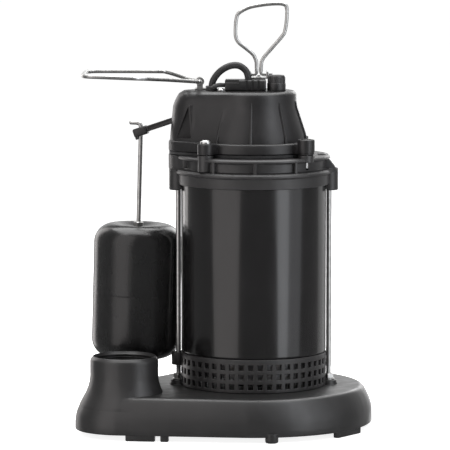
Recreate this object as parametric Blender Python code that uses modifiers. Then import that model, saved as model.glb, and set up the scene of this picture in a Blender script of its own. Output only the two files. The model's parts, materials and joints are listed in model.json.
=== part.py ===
"""Submersible sump pump with a vertical float switch, modelled as separate parts.

Frame: +Z up, origin under the middle of the pump's box, on the floor that its feet stand on.
X runs along the line from the discharge socket (-X) to the motor (+X).
Dimensions are in millimetres. MM turns them into Blender's metres where a shape is made.
"""
import math

import bmesh
import bpy
from mathutils import Matrix, Vector

MM = 0.001
GAP = 0.3                       # clearance between touching parts

# Plan
MOTOR_X = 29.7                  # motor axis
PORT_X = -90.1                  # discharge socket axis
BASE_R_MOTOR = 102.0            # base lobe under the motor
BASE_R_PORT = 41.6              # base lobe under the socket

# Heights
FOOT_H = 5.0
BASE_TOP = 36.0
STRAINER_TOP = 64.7
SHELL_BOTTOM = 65.0
SHELL_TOP = 213.7
COLLAR_TOP = 234.0
CAP_BOTTOM = 237.0
CAP_TOP = 288.5
SOCKET_TOP = 67.0

# Radii
SHELL_R = 62.0
SHELL_WALL = 1.4
SOCKET_R = 28.9
SOCKET_BORE_R = 24.4
STRAINER_WALL = 2.6
TIE_ROD_R = 2.2
TIE_ROD_CIRCLE = 64.5
FLOAT_R = 38.0
FLOAT_WALL = 2.2
ROD_R = 1.9
WIRE_R = 1.7

# Directions around the motor axis, in degrees from +X
TIE_ANGLE = 156.0               # the line of the two tie rods
SCREW_ANGLE = 23.5              # first of the four cap screws
LOBE_ANGLE = 146.0              # switch chamber of the cap
FLOAT_ANGLE = 143.5             # float arm

# Cap
SCREW_CIRCLE = 60.0
LOBE_DIST = 46.0

# Float gear
ARM_PIVOT_DIST = 56.0
ARM_PIVOT_Z = 267.0
ARM_LENGTH = 46.0
ARM_SLOPE = 18.8                # degrees below level at rest
FLOAT_BOTTOM = 56.0
FLOAT_SEAM = 112.0
FLOAT_TOP = 172.0
FLOAT_LEAN = 1.6                # degrees that the float hangs outwards from the arm's eye

# Wire handle and pipe guide, in the tie rods' plane
HANDLE_PIVOT_Z = 302.0
HANDLE_DEPTH = -6.0
GUIDE_PIVOT_U = 46.0
GUIDE_PIVOT_Z = 296.0

# Intake
SKIRT_BOTTOM = 47.0
STRAINER_COLUMNS = 48
STRAINER_HOLE_ROWS = (41.5, 49.7, 57.9)
ROUND = 36                      # facets on a large circle
SMALL = 10                      # facets on a small circle


# ---------------------------------------------------------------- scene set-up

def clear_scene():
    for old in list(bpy.data.objects):
        bpy.data.objects.remove(old, do_unlink=True)


def new_collection(name):
    made = bpy.data.collections.new(name)
    bpy.context.scene.collection.children.link(made)
    return made


def material(name, colour, roughness, metallic=0.0):
    made = bpy.data.materials.new(name)
    made.use_nodes = True
    shader = made.node_tree.nodes["Principled BSDF"]
    shader.inputs["Base Color"].default_value = (*colour, 1.0)
    shader.inputs["Roughness"].default_value = roughness
    shader.inputs["Metallic"].default_value = metallic
    return made


clear_scene()
PARTS = new_collection("sump_pump")
CUTTERS = new_collection("cutters")

BLACK_PLASTIC = material("black_plastic", (0.045, 0.045, 0.047), 0.45)
CAP_PLASTIC = material("charcoal_plastic", (0.055, 0.054, 0.055), 0.42)
FLOAT_PLASTIC = material("float_plastic", (0.03, 0.03, 0.03), 0.25)
ENAMEL = material("black_enamel", (0.02, 0.02, 0.022), 0.18)
STEEL = material("zinc_steel", (0.62, 0.62, 0.6), 0.3, 1.0)
RUBBER = material("rubber", (0.02, 0.02, 0.02), 0.8)
LEAD = material("cable_sheath", (0.025, 0.025, 0.027), 0.5)
COPPER = material("winding", (0.45, 0.2, 0.08), 0.4, 0.8)
CORE_STEEL = material("core_steel", (0.3, 0.3, 0.31), 0.5, 1.0)
SWITCH_PLASTIC = material("switch_plastic", (0.12, 0.12, 0.13), 0.5)
CASE_ALUMINIUM = material("case_aluminium", (0.6, 0.6, 0.6), 0.4, 1.0)


# ---------------------------------------------------------------- places

def polar(distance, degrees, centre=(MOTOR_X, 0.0)):
    angle = math.radians(degrees)
    return (centre[0] + distance * math.cos(angle), centre[1] + distance * math.sin(angle))


def tie_plane(u, v):
    """A point u along the tie rods' line from the motor axis, and v square to it towards -Y."""
    angle = math.radians(TIE_ANGLE)
    x = MOTOR_X + u * math.cos(angle) - v * math.sin(angle)
    y = u * math.sin(angle) + v * math.cos(angle)
    return (x, y)


def two_circle_outline(big, big_r, small, small_r, big_steps, small_steps):
    """Points of the tight band round two circles, anticlockwise from above."""
    along = Vector(big) - Vector(small)
    heading = math.atan2(along.y, along.x)
    tangent = math.acos((small_r - big_r) / along.length)
    points = []
    for step in range(big_steps + 1):
        angle = heading - tangent + 2 * tangent * step / big_steps
        points.append((big[0] + big_r * math.cos(angle), big[1] + big_r * math.sin(angle)))
    rest = math.tau - 2 * tangent
    for step in range(small_steps + 1):
        angle = heading + tangent + rest * step / small_steps
        points.append((small[0] + small_r * math.cos(angle), small[1] + small_r * math.sin(angle)))
    return points


def base_outline(inset):
    return two_circle_outline((MOTOR_X, 0.0), BASE_R_MOTOR - inset, (PORT_X, 0.0), BASE_R_PORT - inset, 30, 10)


def cap_outline(main_r, lobe_r):
    lobe = polar(LOBE_DIST, LOBE_ANGLE)
    return two_circle_outline((MOTOR_X, 0.0), main_r, lobe, lobe_r, 24, 9)


# ---------------------------------------------------------------- shape makers

def add_object(name, mesh, look, location=(0.0, 0.0, 0.0), collection=None):
    made = bpy.data.objects.new(name, mesh)
    made.location = Vector(location) * MM
    (collection or PARTS).objects.link(made)
    if look:
        mesh.materials.append(look)
    return made


def finish_mesh(name, shape):
    bmesh.ops.recalc_face_normals(shape, faces=shape.faces)
    mesh = bpy.data.meshes.new(name)
    shape.to_mesh(mesh)
    shape.free()
    return mesh


def smooth(made):
    made.data.shade_smooth()
    made.data.set_sharp_from_angle(angle=math.radians(35.0))
    return made


def as_cutter(made):
    PARTS.objects.unlink(made)
    CUTTERS.objects.link(made)
    made.hide_render = True
    made.display_type = "WIRE"
    return made


def turned(name, profile, look, centre=(MOTOR_X, 0.0), steps=ROUND):
    """Turns a (radius, height) profile that runs down its outer side about a vertical axis."""
    shape = bmesh.new()
    points = [shape.verts.new((radius * MM, 0.0, height * MM)) for radius, height in profile]
    for first, second in zip(points, points[1:]):
        shape.edges.new((first, second))
    on_axis = profile[0][0] == 0.0 and profile[-1][0] == 0.0
    if not on_axis:
        shape.edges.new((points[-1], points[0]))
    mesh = bpy.data.meshes.new(name)
    shape.to_mesh(mesh)
    shape.free()
    made = add_object(name, mesh, look, (centre[0], centre[1], 0.0))
    screw = made.modifiers.new("turn", "SCREW")
    screw.axis = "Z"
    screw.angle = math.tau
    screw.steps = steps
    screw.render_steps = steps
    screw.use_merge_vertices = True
    screw.merge_threshold = 0.00002
    screw.use_smooth_shade = True
    return made


def ring(name, outer, inner, bottom, top, look, centre=(MOTOR_X, 0.0), steps=ROUND):
    profile = ((outer, top), (outer, bottom), (inner, bottom), (inner, top))
    return turned(name, profile, look, centre, steps)


def disc(name, radius, bottom, top, look, centre=(MOTOR_X, 0.0), steps=ROUND):
    profile = ((0.0, top), (radius, top), (radius, bottom), (0.0, bottom))
    return turned(name, profile, look, centre, steps)


def cylinders(name, places, radius, bottom, top, look, steps=SMALL):
    """One mesh with an upright cylinder at each (x, y) place."""
    shape = bmesh.new()
    for x, y in places:
        middle = Matrix.Translation(Vector((x, y, (bottom + top) / 2)) * MM)
        bmesh.ops.create_cone(shape, cap_ends=True, segments=steps, radius1=radius * MM,
                              radius2=radius * MM, depth=(top - bottom) * MM, matrix=middle)
    return smooth(add_object(name, finish_mesh(name, shape), look))


def lying_cylinder(name, centre, radius, length, heading, look, steps=16):
    """A cylinder whose axis is level and points along heading, in degrees from +X."""
    shape = bmesh.new()
    turn = Matrix.Rotation(math.radians(heading), 4, "Z") @ Matrix.Rotation(math.pi / 2, 4, "Y")
    place = Matrix.Translation(Vector(centre) * MM) @ turn
    bmesh.ops.create_cone(shape, cap_ends=True, segments=steps, radius1=radius * MM,
                          radius2=radius * MM, depth=length * MM, matrix=place)
    return smooth(add_object(name, finish_mesh(name, shape), look))


def box(name, centre, size, look, heading=0.0):
    shape = bmesh.new()
    place = Matrix.Translation(Vector(centre) * MM) @ Matrix.Rotation(math.radians(heading), 4, "Z")
    place = place @ Matrix.Diagonal((*(Vector(size) * MM), 1.0))
    bmesh.ops.create_cube(shape, size=1.0, matrix=place)
    return add_object(name, finish_mesh(name, shape), look)


def loft(name, outlines, heights, look):
    """Joins outlines of equal count, lowest first, into one closed solid."""
    shape = bmesh.new()
    loops = []
    for outline, height in zip(outlines, heights):
        loops.append([shape.verts.new(Vector((x, y, height)) * MM) for x, y in outline])
    count = len(loops[0])
    for lower, upper in zip(loops, loops[1:]):
        for here in range(count):
            after = (here + 1) % count
            shape.faces.new((lower[here], lower[after], upper[after], upper[here]))
    shape.faces.new(list(reversed(loops[0])))
    shape.faces.new(loops[-1])
    return smooth(add_object(name, finish_mesh(name, shape), look))


def tube(name, points, radius, look, closed=False, sides=2):
    """A round wire or cable along a list of (x, y, z) points."""
    curve = bpy.data.curves.new(name, "CURVE")
    curve.dimensions = "3D"
    curve.bevel_depth = radius * MM
    curve.bevel_resolution = sides
    curve.use_fill_caps = not closed
    spline = curve.splines.new("POLY")
    spline.points.add(len(points) - 1)
    for spot, point in zip(spline.points, points):
        spot.co = (*(Vector(point) * MM), 1.0)
    spline.use_cyclic_u = closed
    spline.use_smooth = True
    made = bpy.data.objects.new(name, curve)
    PARTS.objects.link(made)
    curve.materials.append(look)
    return made


def smooth_route(corners, steps, closed=False):
    """Points along a smooth curve through the given corners."""
    corners = [Vector(corner) for corner in corners]
    count = len(corners)
    spans = count if closed else count - 1
    points = []
    for span in range(spans):
        if closed:
            before, start, end, after = (corners[(span + shift) % count] for shift in (-1, 0, 1, 2))
        else:
            before = corners[max(span - 1, 0)]
            start = corners[span]
            end = corners[span + 1]
            after = corners[min(span + 2, count - 1)]
        for step in range(steps):
            t = step / steps
            near = 2 * start + (end - before) * t
            bend = (2 * before - 5 * start + 4 * end - after) * t ** 2
            far = (3 * start - before - 3 * end + after) * t ** 3
            points.append((near + bend + far) / 2)
    if not closed:
        points.append(corners[-1])
    return points


def combine(made, other, operation):
    as_cutter(other)
    step = made.modifiers.new(operation.lower(), "BOOLEAN")
    step.operation = operation
    step.solver = "EXACT"
    step.object = other
    return made


def join(made, other):
    return combine(made, other, "UNION")


def cut(made, other):
    return combine(made, other, "DIFFERENCE")


def hex_nut(name, place, width, hole_r, bottom, top, look):
    flat_to_corner = 1 / math.cos(math.pi / 6)
    return ring(name, width / 2 * flat_to_corner, hole_r * flat_to_corner, bottom, top, look, place, 6)


def pan_screw(name, place, head_r, shank_r, under, head_h, length, look, upward=False):
    """A screw whose head stands head_h from under, and whose shank runs the other way."""
    if upward:
        top = under + length
        low = under - head_h
        profile = ((0.0, top), (shank_r, top), (shank_r, under), (head_r, under), (head_r * 0.7, low), (0.0, low))
    else:
        low = under - length
        top = under + head_h
        profile = ((0.0, top), (head_r * 0.7, top), (head_r, under), (shank_r, under), (shank_r, low), (0.0, low))
    return turned(name, profile, look, place, 8)


# ---------------------------------------------------------------- base

VOLUTE_R = 52.0
VOLUTE_TOP = 30.0
VOLUTE_WALL = 7.0
RIM_WALL = 7.0
PLATE_SEAT = 10.5
TIE_PAD_TOP = 39.5
TIE_PAD_R = 7.0
TIE_WASHER_H = 1.0
TIE_PLACES = (polar(TIE_ROD_CIRCLE, TIE_ANGLE), polar(TIE_ROD_CIRCLE, TIE_ANGLE + 180.0))
PLATE_SCREWS = (polar(78.0, 0.0), polar(78.0, 78.0), polar(78.0, -78.0), (-70.0, 38.0), (-70.0, -38.0))
PLATE_SCREW_R = 2.0


def base_shell():
    """The outer skin of the base: an upright rim under a rounded shoulder and a flat top."""
    insets = (0.6, 0.0, 0.3, 2.4, 5.4, 8.3, 11.0)
    heights = (FOOT_H, 7.4, 17.6, 24.4, 30.5, 34.7, BASE_TOP)
    return loft("base_housing", [base_outline(inset) for inset in insets], heights, BLACK_PLASTIC)


def socket_body():
    profile = ((0.0, SOCKET_TOP), (SOCKET_R - 0.8, SOCKET_TOP), (SOCKET_R, SOCKET_TOP - 0.8),
               (SOCKET_R, 49.0), (29.4, 45.5), (30.4, 42.0), (32.0, 38.0), (33.8, 34.5), (35.6, 31.2),
               (35.6, 29.0), (0.0, 29.0))
    return turned("socket_body", profile, None, (PORT_X, 0.0), 30)


def socket_bore():
    profile = ((0.0, SOCKET_TOP + 3.0), (SOCKET_BORE_R + 3.4, SOCKET_TOP + 3.0),
               (SOCKET_BORE_R, SOCKET_TOP - 1.6), (SOCKET_BORE_R, 44.0), (19.0, 43.0), (19.0, 14.0),
               (0.0, 14.0))
    return turned("socket_bore", profile, None, (PORT_X, 0.0), 28)


def base_hollow():
    """The space inside the rim, around the volute, the channel and the bosses."""
    outlines = [base_outline(RIM_WALL), base_outline(RIM_WALL), base_outline(14.0)]
    hollow = loft("base_hollow", outlines, (9.0, 20.0, 32.0), None)
    cut(hollow, disc("volute_wall", VOLUTE_R + VOLUTE_WALL, 4.0, 36.0, None, steps=28))
    cut(hollow, disc("socket_wall", 30.0, 3.0, 37.0, None, (PORT_X, 0.0), 24))
    middle = (MOTOR_X + PORT_X) / 2
    cut(hollow, box("channel_wall", (middle, 0.0, 20.0), (MOTOR_X - PORT_X, 40.0, 36.0), None))
    cut(hollow, cylinders("tie_rod_bosses", TIE_PLACES, 8.5, 16.0, 40.0, None))
    cut(hollow, cylinders("plate_screw_bosses", PLATE_SCREWS, 6.0, 1.0, 41.0, None, 8))
    return hollow


def plate_recess():
    return loft("plate_recess", [base_outline(RIM_WALL)] * 2, (-2.0, PLATE_SEAT), None)


def foot_blocks():
    """Eight feet under the rim, four on each side: two tabs by the socket, a nub, and a pad by the motor."""
    shape = bmesh.new()
    outline_heading = math.degrees(math.acos((BASE_R_PORT - BASE_R_MOTOR) / (MOTOR_X - PORT_X)))
    tab = Vector(polar(BASE_R_PORT - 4.0, -outline_heading, (PORT_X, 0.0)))
    along = Vector((math.sin(math.radians(outline_heading)), math.cos(math.radians(outline_heading))))
    feet = []
    for run, length in ((19.0, 25.0), (39.5, 7.0)):
        spot = tab + along * run
        feet.append((spot.x, spot.y, 90.0 - outline_heading, length))
    for angle, length in ((-105.0, 11.0), (-60.0, 34.0)):
        x, y = polar(BASE_R_MOTOR - 4.0, angle)
        feet.append((x, y, angle + 90.0, length))
    for x, y, heading, length in feet:
        for side in (1.0, -1.0):
            place = Matrix.Translation(Vector((x, side * y, FOOT_H / 2 + 1.0)) * MM)
            place = place @ Matrix.Rotation(math.radians(side * heading), 4, "Z")
            size = Matrix.Diagonal((length * MM, 5.6 * MM, (FOOT_H + 2.0) * MM, 1.0))
            bmesh.ops.create_cube(shape, size=1.0, matrix=place @ size)
    return add_object("foot_blocks", finish_mesh("foot_blocks", shape), None)


def make_base():
    base = base_shell()
    join(base, socket_body())
    cut(base, base_hollow())
    cut(base, plate_recess())
    join(base, cylinders("tie_rod_pads", TIE_PLACES, TIE_PAD_R, 34.0, TIE_PAD_TOP, None, 12))
    join(base, foot_blocks())
    cut(base, disc("volute_chamber", VOLUTE_R, 5.0, VOLUTE_TOP, None, steps=28))
    cut(base, disc("volute_eye", 19.0, 25.0, 45.0, None, steps=20))
    middle = (MOTOR_X - 30.0 + PORT_X) / 2
    cut(base, box("volute_channel", (middle, 0.0, 17.5), (MOTOR_X - 30.0 - PORT_X, 26.0, 21.0), None))
    cut(base, socket_bore())
    cut(base, cylinders("tie_rod_holes", TIE_PLACES, TIE_ROD_R + GAP, 24.0, 50.0, None))
    cut(base, cylinders("plate_screw_holes", PLATE_SCREWS, PLATE_SCREW_R + GAP, 5.0, 24.0, None, 8))
    return base


def make_bottom_plate():
    outlines = [base_outline(RIM_WALL + GAP)] * 2
    plate = loft("bottom_plate", outlines, (FOOT_H + 0.5, PLATE_SEAT - GAP), BLACK_PLASTIC)
    cut(plate, cylinders("plate_clearance_holes", PLATE_SCREWS, PLATE_SCREW_R + GAP, 3.0, 14.0, None, 8))
    return plate


def make_bottom_plate_screws():
    for number, place in enumerate(PLATE_SCREWS, 1):
        pan_screw(f"bottom_plate_screw_{number}", place, 4.0, PLATE_SCREW_R, FOOT_H + 0.5 - GAP, 2.8, 15.0,
                  STEEL, upward=True)


# ---------------------------------------------------------------- strainer and motor shell

def strainer_holes():
    """Square windows, one column to each facet of the ring."""
    shape = bmesh.new()
    for column in range(STRAINER_COLUMNS):
        turn = Matrix.Rotation(math.tau * (column + 0.5) / STRAINER_COLUMNS, 4, "Z")
        for height in STRAINER_HOLE_ROWS:
            out = Matrix.Translation(Vector((SHELL_R - STRAINER_WALL / 2, 0.0, height)) * MM)
            size = Matrix.Diagonal((STRAINER_WALL * 3 * MM, 4.4 * MM, 4.6 * MM, 1.0))
            bmesh.ops.create_cube(shape, size=1.0, matrix=turn @ out @ size)
    return add_object("strainer_holes", finish_mesh("strainer_holes", shape), None, (MOTOR_X, 0.0, 0.0))


def make_strainer():
    strainer = ring("inlet_strainer", SHELL_R + 0.3, SHELL_R - STRAINER_WALL, BASE_TOP + GAP, STRAINER_TOP,
                    BLACK_PLASTIC, steps=STRAINER_COLUMNS)
    cut(strainer, strainer_holes())
    ears = cylinders("strainer_ears", TIE_PLACES[:1], 6.0, 52.5, 63.5, None, 12)
    cut(ears, disc("strainer_inside", SHELL_R - STRAINER_WALL + 0.9, 50.0, 66.0, None))
    join(strainer, ears)
    cut(strainer, cylinders("strainer_rod_holes", TIE_PLACES, TIE_ROD_R + GAP, 34.0, 66.0, None))
    cut(strainer, cylinders("strainer_nut_notches", TIE_PLACES, TIE_PAD_R + GAP + 0.1, 34.0, 47.0, None, 12))
    return strainer


def make_shell():
    return ring("motor_shell", SHELL_R, SHELL_R - SHELL_WALL, SHELL_BOTTOM, SHELL_TOP, ENAMEL, steps=48)


def make_shell_seals():
    inner = SHELL_R - SHELL_WALL - GAP
    for name, bottom in (("lower_shell_seal", 71.0), ("upper_shell_seal", 209.5)):
        ring(name, inner, inner - 2.6, bottom, bottom + 2.6, RUBBER, steps=24)


def make_lower_end_plate():
    """The motor's lower end: a disc with a bearing seat, and a skirt that turns the inflow down to the eye."""
    rim = SHELL_R - SHELL_WALL - GAP
    under = SHELL_BOTTOM + GAP
    profile = ((rim, 70.7), (rim, under), (53.0, under), (51.0, SKIRT_BOTTOM), (48.0, SKIRT_BOTTOM), (50.0, under),
               (7.0, under), (7.0, 72.5), (16.3, 72.5), (16.3, 84.0), (20.5, 84.0), (20.5, 70.7))
    return turned("lower_end_plate", profile, CORE_STEEL, steps=28)


# ---------------------------------------------------------------- collar and cap

BEARING_SEAT_R = 11.3
RIB_ANGLES = (-32.8, 0.0, 32.8)


def make_collar():
    """The upper casting: skirt, two ledges with ribs between them, and the bearing web inside."""
    profile = ((65.5, COLLAR_TOP), (65.5, 231.4), (61.5, 230.6), (61.5, 222.3), (67.0, 221.3), (67.0, 219.0),
               (65.0, 218.4), (65.0, 209.0), (SHELL_R + 0.4, 209.0), (SHELL_R + 0.4, 214.0), (16.0, 214.0),
               (16.0, 211.0), (BEARING_SEAT_R, 211.0), (BEARING_SEAT_R, 222.5), (16.0, 222.5), (16.0, 219.5),
               (46.0, 219.5), (46.0, COLLAR_TOP))
    collar = turned("upper_collar", profile, CAP_PLASTIC)
    join(collar, collar_lugs())
    join(collar, collar_ribs())
    lobe = loft("collar_lobe", [cap_outline(52.0, 27.6)] * 2, (221.6, 233.6), None)
    cut(lobe, disc("collar_bore", 50.0, 218.0, 238.0, None))
    join(collar, lobe)
    join(collar, cylinders("cap_screw_bosses", screw_places(), 6.6, 222.6, 236.6, None, 12))
    cut(collar, ring("shell_seat", SHELL_R + 0.5, 50.0, 198.0, 214.6, None))
    cut(collar, cylinders("tie_rod_sockets", TIE_PLACES, TIE_ROD_R + GAP, 198.0, 218.4, None))
    cut(collar, cylinders("cap_screw_holes", screw_places(), 2.3, 224.0, 240.0, None))
    return collar


def screw_places():
    return [polar(SCREW_CIRCLE, SCREW_ANGLE + 90.0 * step) for step in range(4)]


def collar_lugs():
    """The two ears that the tie rods pull on, each with a sloping web up to the top ledge."""
    lugs = cylinders("collar_lugs", TIE_PLACES, 7.8, 203.5, 222.8, None, 16)
    for side, angle in enumerate((TIE_ANGLE, TIE_ANGLE + 180.0)):
        outlines = []
        for inner, outer in ((55.0, 71.4), (55.0, 60.5)):
            corners = ((inner, -7.5), (outer, -7.5), (outer, 7.5), (inner, 7.5))
            outlines.append([turned_point(u, v, angle) for u, v in corners])
        join(lugs, loft(f"collar_web_{side}", outlines, (220.4, 235.2), None))
    return lugs


def turned_point(out, across, degrees):
    """A point out from the motor axis at an angle, and across from that line."""
    angle = math.radians(degrees)
    x = MOTOR_X + out * math.cos(angle) - across * math.sin(angle)
    return (x, out * math.sin(angle) + across * math.cos(angle))


def collar_ribs():
    shape = bmesh.new()
    for half in (0.0, 180.0):
        for offset in RIB_ANGLES:
            angle = TIE_ANGLE + 91.0 + half + offset
            turn = Matrix.Translation(Vector((MOTOR_X, 0.0, 0.0)) * MM)
            turn = turn @ Matrix.Rotation(math.radians(angle), 4, "Z")
            out = Matrix.Translation(Vector((62.3, 0.0, 226.5)) * MM)
            size = Matrix.Diagonal((5.0 * MM, 2.6 * MM, 11.5 * MM, 1.0))
            bmesh.ops.create_cube(shape, size=1.0, matrix=turn @ out @ size)
    return add_object("collar_ribs", finish_mesh("collar_ribs", shape), None)


def make_cap():
    """The top housing: a flanged cone with a rounded lobe over the float switch."""
    main_r = (46.8, 45.0, 37.2, 36.4, 35.4)
    lobe_r = (26.8, 26.0, 23.8, 19.6, 13.0)
    heights = (CAP_BOTTOM + 2.0, 252.0, 275.0, 284.0, CAP_TOP)
    outlines = [cap_outline(main, lobe) for main, lobe in zip(main_r, lobe_r)]
    cap = loft("top_cap", outlines, heights, CAP_PLASTIC)
    join(cap, loft("cap_flange", [cap_outline(52.0, 27.6)] * 2, (CAP_BOTTOM, 246.0), None))
    join(cap, cylinders("cap_lugs", screw_places(), 7.0, CAP_BOTTOM, 246.0, None, 12))
    for step in range(4):
        angle = SCREW_ANGLE + 90.0 * step
        x, y = polar(53.0, angle)
        join(cap, box(f"cap_lug_web_{step}", (x, y, 241.4), (13.0, 12.4, 8.4), None, angle))
    inner_main = (43.0, 41.8, 34.2, 33.2)
    inner_lobe = (23.4, 22.8, 20.4, 15.0)
    inner_heights = (230.0, 252.0, 275.0, 284.5)
    hollow = [cap_outline(main, lobe) for main, lobe in zip(inner_main, inner_lobe)]
    cut(cap, loft("cap_hollow", hollow, inner_heights, None))
    cut(cap, cylinders("cap_screw_clearance", screw_places(), 2.3, 234.0, 250.0, None))
    x, y = polar(70.0, FLOAT_ANGLE)
    cut(cap, box("arm_slot", (x, y, 265.0), (18.0, 8.6, 18.6), None, FLOAT_ANGLE))
    cut(cap, cylinders("lead_hole", (LEAD_GLAND,), LEAD_R + 0.5, 280.0, 292.0, None, 14))
    cut(cap, cylinders("top_screw_holes", (GUIDE_SCREW, CAP_TOP_SCREW), 1.7, 280.0, 292.0, None, 10))
    return cap


def make_cap_gasket():
    gasket = loft("cap_gasket", [cap_outline(51.6, 27.2)] * 2, (COLLAR_TOP + GAP, CAP_BOTTOM - GAP), RUBBER)
    cut(gasket, loft("gasket_hole", [cap_outline(46.4, 23.6)] * 2, (COLLAR_TOP - 2.0, CAP_BOTTOM + 2.0), None))
    cut(gasket, cylinders("gasket_boss_notches", screw_places(), 7.0, 230.0, 240.0, None, 12))
    return gasket


def make_cap_screws():
    for number, place in enumerate(screw_places(), 1):
        pan_screw(f"cap_screw_{number}", place, 4.6, 2.0, 246.0 + GAP, 3.2, 21.0, STEEL)


# ---------------------------------------------------------------- tie rods

def make_tie_rods():
    washer_top = TIE_PAD_TOP + GAP + TIE_WASHER_H
    for number, place in enumerate(TIE_PLACES, 1):
        disc(f"tie_rod_{number}", TIE_ROD_R, 24.6, 218.0, STEEL, place, SMALL)
        ring(f"tie_rod_washer_{number}", 5.2, TIE_ROD_R + GAP, TIE_PAD_TOP + GAP, washer_top, STEEL, place, SMALL)
        hex_nut(f"tie_rod_nut_{number}", place, 8.0, TIE_ROD_R + GAP, washer_top + GAP, washer_top + 4.2, STEEL)


# ---------------------------------------------------------------- motor and pump inside

SHAFT_R = 6.0
BEARING_H = 7.0


def make_motor():
    """Stator and rotor, their bearings and seals."""
    bore = SHELL_R - SHELL_WALL - GAP
    ring("stator_core", bore, 29.0, 98.0, 162.0, CORE_STEEL, steps=30)
    winding = ((50.0, 184.0), (53.0, 180.0), (53.0, 162.4), (31.0, 162.4), (31.0, 180.0), (34.0, 184.0))
    turned("stator_winding_upper", winding, COPPER, steps=20)
    lower = ((53.0, 97.6), (53.0, 81.0), (50.0, 77.0), (34.0, 77.0), (31.0, 81.0), (31.0, 97.6))
    turned("stator_winding_lower", lower, COPPER, steps=20)
    ring("rotor_core", 28.0, SHAFT_R + GAP, 96.0, 164.0, CASE_ALUMINIUM, steps=24)
    box("thermal_protector", (MOTOR_X + 42.0, 0.0, 188.4), (12.0, 22.0, 8.0), SWITCH_PLASTIC)
    ring("lower_bearing", 16.0, SHAFT_R + GAP, 73.0, 73.0 + 9.0, CORE_STEEL, steps=18)
    ring("upper_bearing", 11.0, 5.3, 214.3, 214.3 + BEARING_H, CORE_STEEL, steps=18)
    seal = ((10.5, 64.8), (10.5, 58.0), (8.5, 55.5), (SHAFT_R + GAP, 55.5), (SHAFT_R + GAP, 64.8))
    turned("shaft_seal", seal, RUBBER, steps=16)


def make_shaft():
    profile = ((0.0, 222.0), (5.0, 222.0), (5.0, 206.0), (SHAFT_R, 205.0), (SHAFT_R, 30.0), (4.0, 29.0),
               (4.0, 12.6), (0.0, 12.6))
    return turned("shaft", profile, STEEL, steps=14)


def make_impeller():
    """A disc with a hub and six swept vanes below it."""
    hub = ((40.0, 28.0), (46.0, 27.0), (46.0, 24.6), (10.0, 24.6), (10.0, 17.0), (4.3, 17.0), (4.3, 28.4),
           (10.0, 28.4))
    impeller = turned("impeller", hub, SWITCH_PLASTIC, steps=20)
    vanes = bmesh.new()
    for step in range(6):
        turn = Matrix.Translation(Vector((MOTOR_X, 0.0, 21.0)) * MM)
        turn = turn @ Matrix.Rotation(math.radians(60.0 * step), 4, "Z")
        out = Matrix.Translation(Vector((26.0, 6.0, 0.0)) * MM)
        sweep = Matrix.Rotation(math.radians(24.0), 4, "Z")
        size = Matrix.Diagonal((36.0 * MM, 2.4 * MM, 8.2 * MM, 1.0))
        bmesh.ops.create_cube(vanes, size=1.0, matrix=turn @ out @ sweep @ size)
    join(impeller, add_object("impeller_vanes", finish_mesh("impeller_vanes", vanes), None))
    hex_nut("impeller_nut", (MOTOR_X, 0.0), 12.0, 4.3, 13.0, 16.6, STEEL)
    return impeller


def make_capacitor():
    place = polar(15.0, LOBE_ANGLE + 180.0)
    profile = ((0.0, 262.0), (11.5, 262.0), (13.0, 260.5), (13.0, 222.8), (0.0, 222.8))
    return turned("start_capacitor", profile, CASE_ALUMINIUM, place, 16)


# ---------------------------------------------------------------- float switch and float

PLUNGER_R = 1.8
PLUNGER_DIST = ARM_PIVOT_DIST - 8.0
PLUNGER_TOP = 266.1
PLUNGER_LENGTH = 11.4
ARM_PIN_R = 1.8
EYE_X = ARM_PIVOT_DIST + ARM_LENGTH * math.cos(math.radians(ARM_SLOPE))
EYE_Z = ARM_PIVOT_Z - ARM_LENGTH * math.sin(math.radians(ARM_SLOPE))
ROD_END = 10.0
FLOAT_PLACE = polar(EYE_X, FLOAT_ANGLE)


def make_switch():
    """The sealed switch under the arm's tail, its push pin and its two screws."""
    x, y = polar(PLUNGER_DIST - 3.0, FLOAT_ANGLE)
    switch = box("float_switch_body", (x, y, 253.0), (26.0, 11.0, 13.0), SWITCH_PLASTIC, FLOAT_ANGLE)
    pin = polar(PLUNGER_DIST, FLOAT_ANGLE)
    cut(switch, cylinders("plunger_bore", (pin,), PLUNGER_R + GAP, 250.0, 262.5, None))
    for side in (1.0, -1.0):
        x, y = turned_point(ARM_PIVOT_DIST, side * 5.6, FLOAT_ANGLE)
        join(switch, box(f"arm_ear_{side:.0f}", (x, y, 262.9), (7.0, 3.0, 16.0), None, FLOAT_ANGLE))
    x, y = polar(55.2, FLOAT_ANGLE)
    join(switch, box("switch_leg", (x, y, 242.8), (5.0, 10.0, 14.2), None, FLOAT_ANGLE))
    pivot = (*polar(ARM_PIVOT_DIST, FLOAT_ANGLE), ARM_PIVOT_Z)
    cut(switch, lying_cylinder("arm_ear_bores", pivot, ARM_PIN_R + GAP, 20.0, FLOAT_ANGLE + 90.0, None, SMALL))
    disc("switch_plunger", PLUNGER_R, PLUNGER_TOP - PLUNGER_LENGTH, PLUNGER_TOP, CASE_ALUMINIUM, pin, SMALL)
    return switch


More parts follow.
